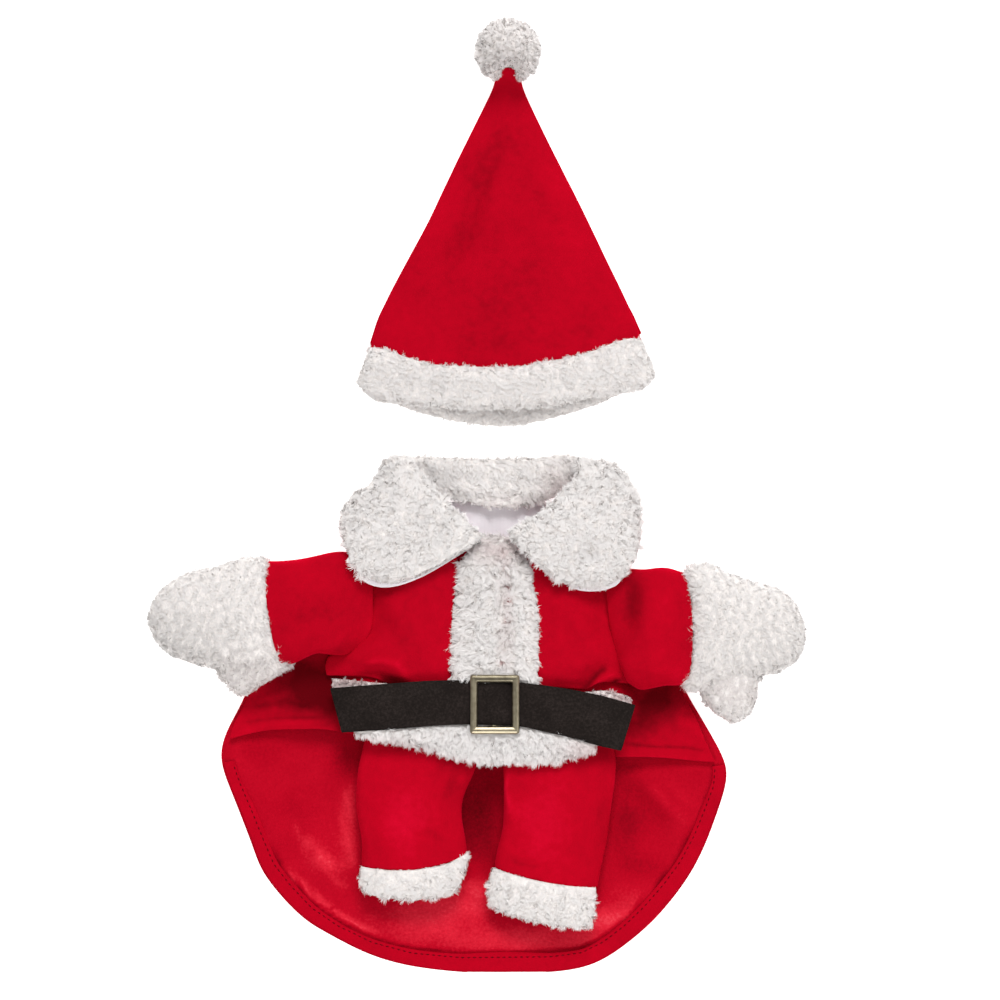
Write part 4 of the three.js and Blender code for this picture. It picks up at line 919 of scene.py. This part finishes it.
# a piece's blush marks are painted red bounce light from the velour beside it
boaPieces = [
    {"name": "placket_boa", "node": "placket", "flat": (0.051, 0.079), "area": 0.0037, "held": "laid",
     "seam": ([(3, 87), (5, 74), (8, 56), (9, 49), (5, 41), (6, 31), (4, 20)], 1.0),
     "drags": [([(-22, 17), (22, 16)], 6, (0, -4.5, 5))],
     "folds": [fold([(3, 87), (5, 74), (8, 56), (5, 41), (6, 31), (4, 18)], -1.6, 2.5, end=0)],
     "fur": {**longPile, "locks": 21000, "seed": 101, "length": 4.8, "gather": 0.48, "crisp": 0.3,
             "airy": 0.8, "flow": beside(15, 0.9, 0.3, -99),
             "trim": [([(-22, 18), (22, 17)], 5, 1.25), ([(-10, 11), (10, 11)], 4, 0.4)],
             "painted_red_bounce": [(4, 86, 16, 7, 0.24), (6, 50, 3, 30, 0.14), (-24, 50, 4, 40, 0.1)]}},
    {"name": "wing_left_boa", "node": "collar_left", "flat": (0.085, 0.078), "area": 0.0042, "held": "draped",
     "drags": [([(-66, 130), (-52, 136), (-44, 136)], 6, (0, 1.5, 0))],
     "folds": [fold([(-88, 90), (-74, 86), (-60, 85), (-44, 88), (-30, 92)], -1.8, 3.5, dip=0.4),
               fold([(-62, 124), (-52, 118), (-44, 108)], 1.0, 6)],
     "fur": {**wingPile, "locks": 26000, "seed": 102, "flow": outward(-38, -14, 0.35),
             "trim": [([(-67, 68), (-50, 69), (-30, 78), (-8, 92)], 4.5, 0.3),
                      ([(-84, 118), (-93, 106), (-92, 90), (-84, 76), (-74, 70)], 5, 1.8)],
             "painted_red_bounce": [(-92, 90, 6, 14, 0.2)]}},
    {"name": "wing_right_boa", "node": "collar_right", "flat": (0.080, 0.078), "area": 0.00416,
     "held": "draped",
     "folds": [fold([(40, 85), (52, 82), (64, 79)], -1.5, 4, dip=0.3),
               fold([(66, 124), (70, 108), (66, 92)], 0.8, 7)],
     "fur": {**wingPile, "locks": 26000, "seed": 103, "flow": outward(62, -14, 0.35),
             "trim": [([(48, 62), (58, 62)], 4, 0.6), ([(22, 82), (34, 70), (44, 66)], 4, 1.3),
                      ([(60, 128), (76, 122), (85, 108), (86, 94), (82, 80), (74, 68)], 5, 1.8)],
             "painted_red_bounce": [(86, 94, 6, 18, 0.2)]}},
    {"name": "neckband_boa", "node": "collar_back", "flat": (0.118, 0.060), "area": 0.00575, "held": "folded",
     "drags": [([(-44, 133), (0, 132), (44, 133)], 6, (0, 1.8, 0))],
     "folds": [fold([(-40, 127), (-20, 124), (0, 125), (20, 122), (36, 124)], -1.2, 3, dip=0.5),
               fold([(-30, 118), (-10, 115), (14, 116), (28, 112)], -1.0, 2.6, dip=0.5)],
     "fur": {**longPile, "locks": 20000, "seed": 104, "length": 3.4, "gather": 0.48, "crisp": 0.3,
             "flow": combed,
             "painted_red_bounce": [(36, 116, 10, 14, 0.3), (8, 111, 22, 6, 0.14)]}},
    {"name": "hem_boa", "node": "hem_band", "flat": (0.171, 0.050), "area": 0.0067, "held": "laid",
     "drags": [([(-80, -19), (-40, -17), (-13, -16), (14, -17), (45, -23), (66, -29)], 6, (0, 0, 3.2))],
     "fur": {**longPile, "locks": 20000, "seed": 105, "flow": downward(0.9), "below": [beltPiece],
             "gather": 0.5, "clump": 3.5, "curl": 0.6, "thick": 0.38, "airy": 1.1,
             "trim": [([(-96, 12), (-60, 14)], 7, 0.8), ([(58, 8), (80, 0)], 7, 0.8),
                      ([(-82, -18), (-50, -23), (-26, -27), (-8, -32), (26, -31), (41, -29), (58, -23)], 5,
                       1.25)],
             "painted_red_bounce": [(-78, 12, 22, 6, 0.45), (70, 4, 14, 8, 0.45), (-58, -24, 16, 5, 0.25),
                       (52, -24, 14, 6, 0.2)]}},
    {"name": "cuff_left_boa", "node": "cuff_left", "flat": (0.150, 0.0240), "area": 0.0031, "held": "laid",
     "drags": [([(-74, -110), (-45, -115), (-22, -110)], 5, (0, 3, 0)),
               ([(-20, -84), (-14, -82)], 4, (0, 2.5, 0))],
     "fur": {**cuffPile, "locks": 10000, "seed": 106,
             "trim": [([(-76, -92), (-45, -94), (-24, -86), (-18, -82)], 4, 0.35)]}},
    {"name": "cuff_right_boa", "node": "cuff_right", "flat": (0.150, 0.0270), "area": 0.0036, "held": "laid",
     "fur": {**cuffPile, "locks": 11000, "seed": 107,
             "trim": [([(-3, -92), (16, -98), (34, -102), (57, -104)], 4, 0.35)]}},
    {"name": "brim_front_boa", "node": "hat_band_front", "flat": (0.170, 0.040), "area": 0.0052,
     "held": "laid", "drags": [([(-72, 203), (-40, 192), (7, 188.5), (50, 197), (88, 205)], 6, (0, 0, -2.8))],
     "fur": {**shortPile, "locks": 25000, "seed": 108, "crisp": 0.22, "stand": 0.4, "length": 2.8,
             "flow": downward(0.2)}},
    {"name": "brim_back_boa", "node": "hat_band_back", "flat": (0.162, 0.044), "area": 0.0058, "held": "laid",
     "fur": {**shortPile, "locks": 14000, "seed": 109, "airy": 0.55, "crisp": 0.34, "stand": 0.55,
             "length": 3.4, "loose": 0.34, "thick": 0.44, "flow": downward(0.2)}},
    {"name": "pompom_boa", "node": "hat_pompom", "padded": 0.8, "levels": 2,
     "drags": [([(7.6, 345), (7.6, 350)], 9, (0, 0, -17))],
     "fur": {**shortPile, "locks": 13000, "seed": 110, "length": 3.2, "stand": 0.7, "below": [hatFrontPiece],
             "airy": 0.8,
             "clump": 3.5, "loose": 0.35, "gather": 0.5, "crisp": 0.3, "thick": 0.38,
             "trim": [([(7.6, 342), (7.6, 352)], 7, 0.4)], "painted_red_bounce": [(8, 364, 22, 22, 0.04)]}},
    # the mittens' dim marks paint shade over their lower and outer parts
    {"name": "mitten_left", "node": "mitt_left", "padded": 0.6, "topOnly": True,
     "folds": [fold([(-158, 17), (-146, 21), (-134, 24), (-122, 26)], 3.2, 4.5, end=0.15)],
     "drags": [([(-121, 21), (-118, 26)], 5, (4, 0.5, 0)), ([(-119, 26), (-127, 78)], 4, (1.2, 0, 0)),
               ([(-127, 80), (-140, 80)], 7, (0, 2.2, 0))],
     "fur": {**mittenPile, "seed": 111, "flow": outward(-152, -70, 0.45),
             "trim": [([(-118, 24), (-127, 79)], 4, 2.0)],
             "painted_red_bounce": [(-136, 16, 22, 14, 0.1)],
             "painted_shade": [(-162, 34, 44, 36, 0.12), (-178, 34, 18, 16, 0.14), (-150, 24, 26, 8, 0.12)]}},
    {"name": "mitten_right", "node": "mitt_right", "padded": 0.6, "topOnly": True,
     "drags": [([(110, 76), (122, 76)], 6, (-0.5, 2.5, 0)), ([(106, 9), (111, 6)], 5, (-3, -2, 0))],
     "fur": {**mittenPile, "seed": 112, "flow": outward(150, -75, 0.45),
             "trim": [([(109, 76), (112, 45), (109, 9)], 4, 2.0)],
             "painted_red_bounce": [(132, 6, 22, 10, 0.1)], "painted_shade": [(146, 36, 50, 50, 0.1), (158, 28, 20, 16, 0.06)]}},
]
for look in boaPieces:
    makeBoa(look)
print("boa pieces made")

# collar linings: the smooth cloth that shows as a pale edge below the wings
for name, node, flat, area, drags in [
    ("wing_left_lining", "collar_lining_left", (0.083, 0.070), 0.0035,
     [([(-66, 124), (-80, 116), (-88, 103), (-85, 89), (-80, 76)], 5, (4, 1, 0))]),
    ("wing_right_lining", "collar_lining_right", (0.078, 0.070), 0.00354,
     [([(69, 132), (77, 122), (82, 110), (82, 97), (80, 83), (74, 72)], 5, (-4, 1, 0)),
      ([(39, 66), (25, 76), (11, 89)], 4, (0, 2, 0))]),
]:
    facing = makeCloth({"name": name, "node": node, "material": lining, "slot": "white_lining",
                        "drags": drags})
print("linings made")

# floor, light and camera
floorLook = {"reach": 3, "drop": 0.0004, "colour": "fbfbfb", "glow": 0.8}  # reach and drop in m


def paperShader(tree, patterns, look):
    # matt white paper, lit from within a little so that it stays plain white around the set
    return addNode(tree, "ShaderNodeBsdfPrincipled", {
        "Base Color": linear(look["colour"]), "Roughness": 0.9, "Specular IOR Level": 0.1,
        "Emission Color": linear(1.0), "Emission Strength": look["glow"]})


floorCorners = np.array([[-1, -1, 0], [1, -1, 0], [1, 1, 0], [-1, 1, 0]], float) * floorLook["reach"]
floor = linked("floor", meshFrom("floor", floorCorners, np.array([[0, 1, 2, 3]])))
floor.data.materials.append(makeMaterial("white_paper_sweep", paperShader, floorLook))
floor.location.z = -floorLook["drop"]

# the dome is soft all round, a little dimmer low down, and dark straight above where the camera hangs
domeLook = {"levels": [(0.0, 0.6), (0.35, 0.9), (0.7, 1.0), (0.88, 1.0), (0.94, 0.25)], "strength": 0.6}
world = bpy.data.worlds.new("studio")
bpy.context.scene.world = world
world.use_nodes = True
sky = world.node_tree
skyPlace = addNode(sky, "ShaderNodeTexCoord", out="Generated")
skyHeight = addNode(sky, "ShaderNodeSeparateXYZ", {"Vector": skyPlace}, out="Z")
dome = addNode(sky, "ShaderNodeValToRGB", {"Fac": skyHeight}, stops=domeLook["levels"])
sky.links.new(dome, sky.nodes["Background"].inputs["Color"])
sky.nodes["Background"].inputs["Strength"].default_value = domeLook["strength"]


def softBox(name, place, size, power):
    # a soft light that faces the middle of the floor
    lamp = bpy.data.lights.new(name, "AREA")
    lamp.shape = "RECTANGLE"
    lamp.size, lamp.size_y = size
    lamp.energy = power
    holder = linked(name, lamp)
    holder.location = place
    holder.rotation_euler = (Vector((0, 0, 0)) - Vector(place)).to_track_quat("-Z", "Y").to_euler()


softBox("soft_box_top", (0.3, 3.6, 3.6), (2.4, 1.8), 200)
softBox("soft_box_side", (1.5, -0.2, 1.5), (0.9, 0.9), 8)
softBox("soft_box_low", (-0.2, -1.7, 1.5), (1.2, 0.9), 20)

# lens and sensor in mm; width is what the picture shows across, in m, at the given height of the set
cameraLook = {"lens": 250, "sensor": 36, "width": 0.560, "height": 0.008, "centre": (0.0129, -0.0025)}
camera = bpy.data.cameras.new("camera")
camera.lens, camera.sensor_width = cameraLook["lens"], cameraLook["sensor"]
camera.clip_end = 50
cameraHolder = linked("camera", camera)
distance = cameraLook["width"] / (cameraLook["sensor"] / cameraLook["lens"])
cameraHolder.location = (*cameraLook["centre"], distance + cameraLook["height"])
bpy.context.scene.camera = cameraHolder
bpy.context.scene.view_settings.view_transform = "Standard"
print("floor, light and camera made")
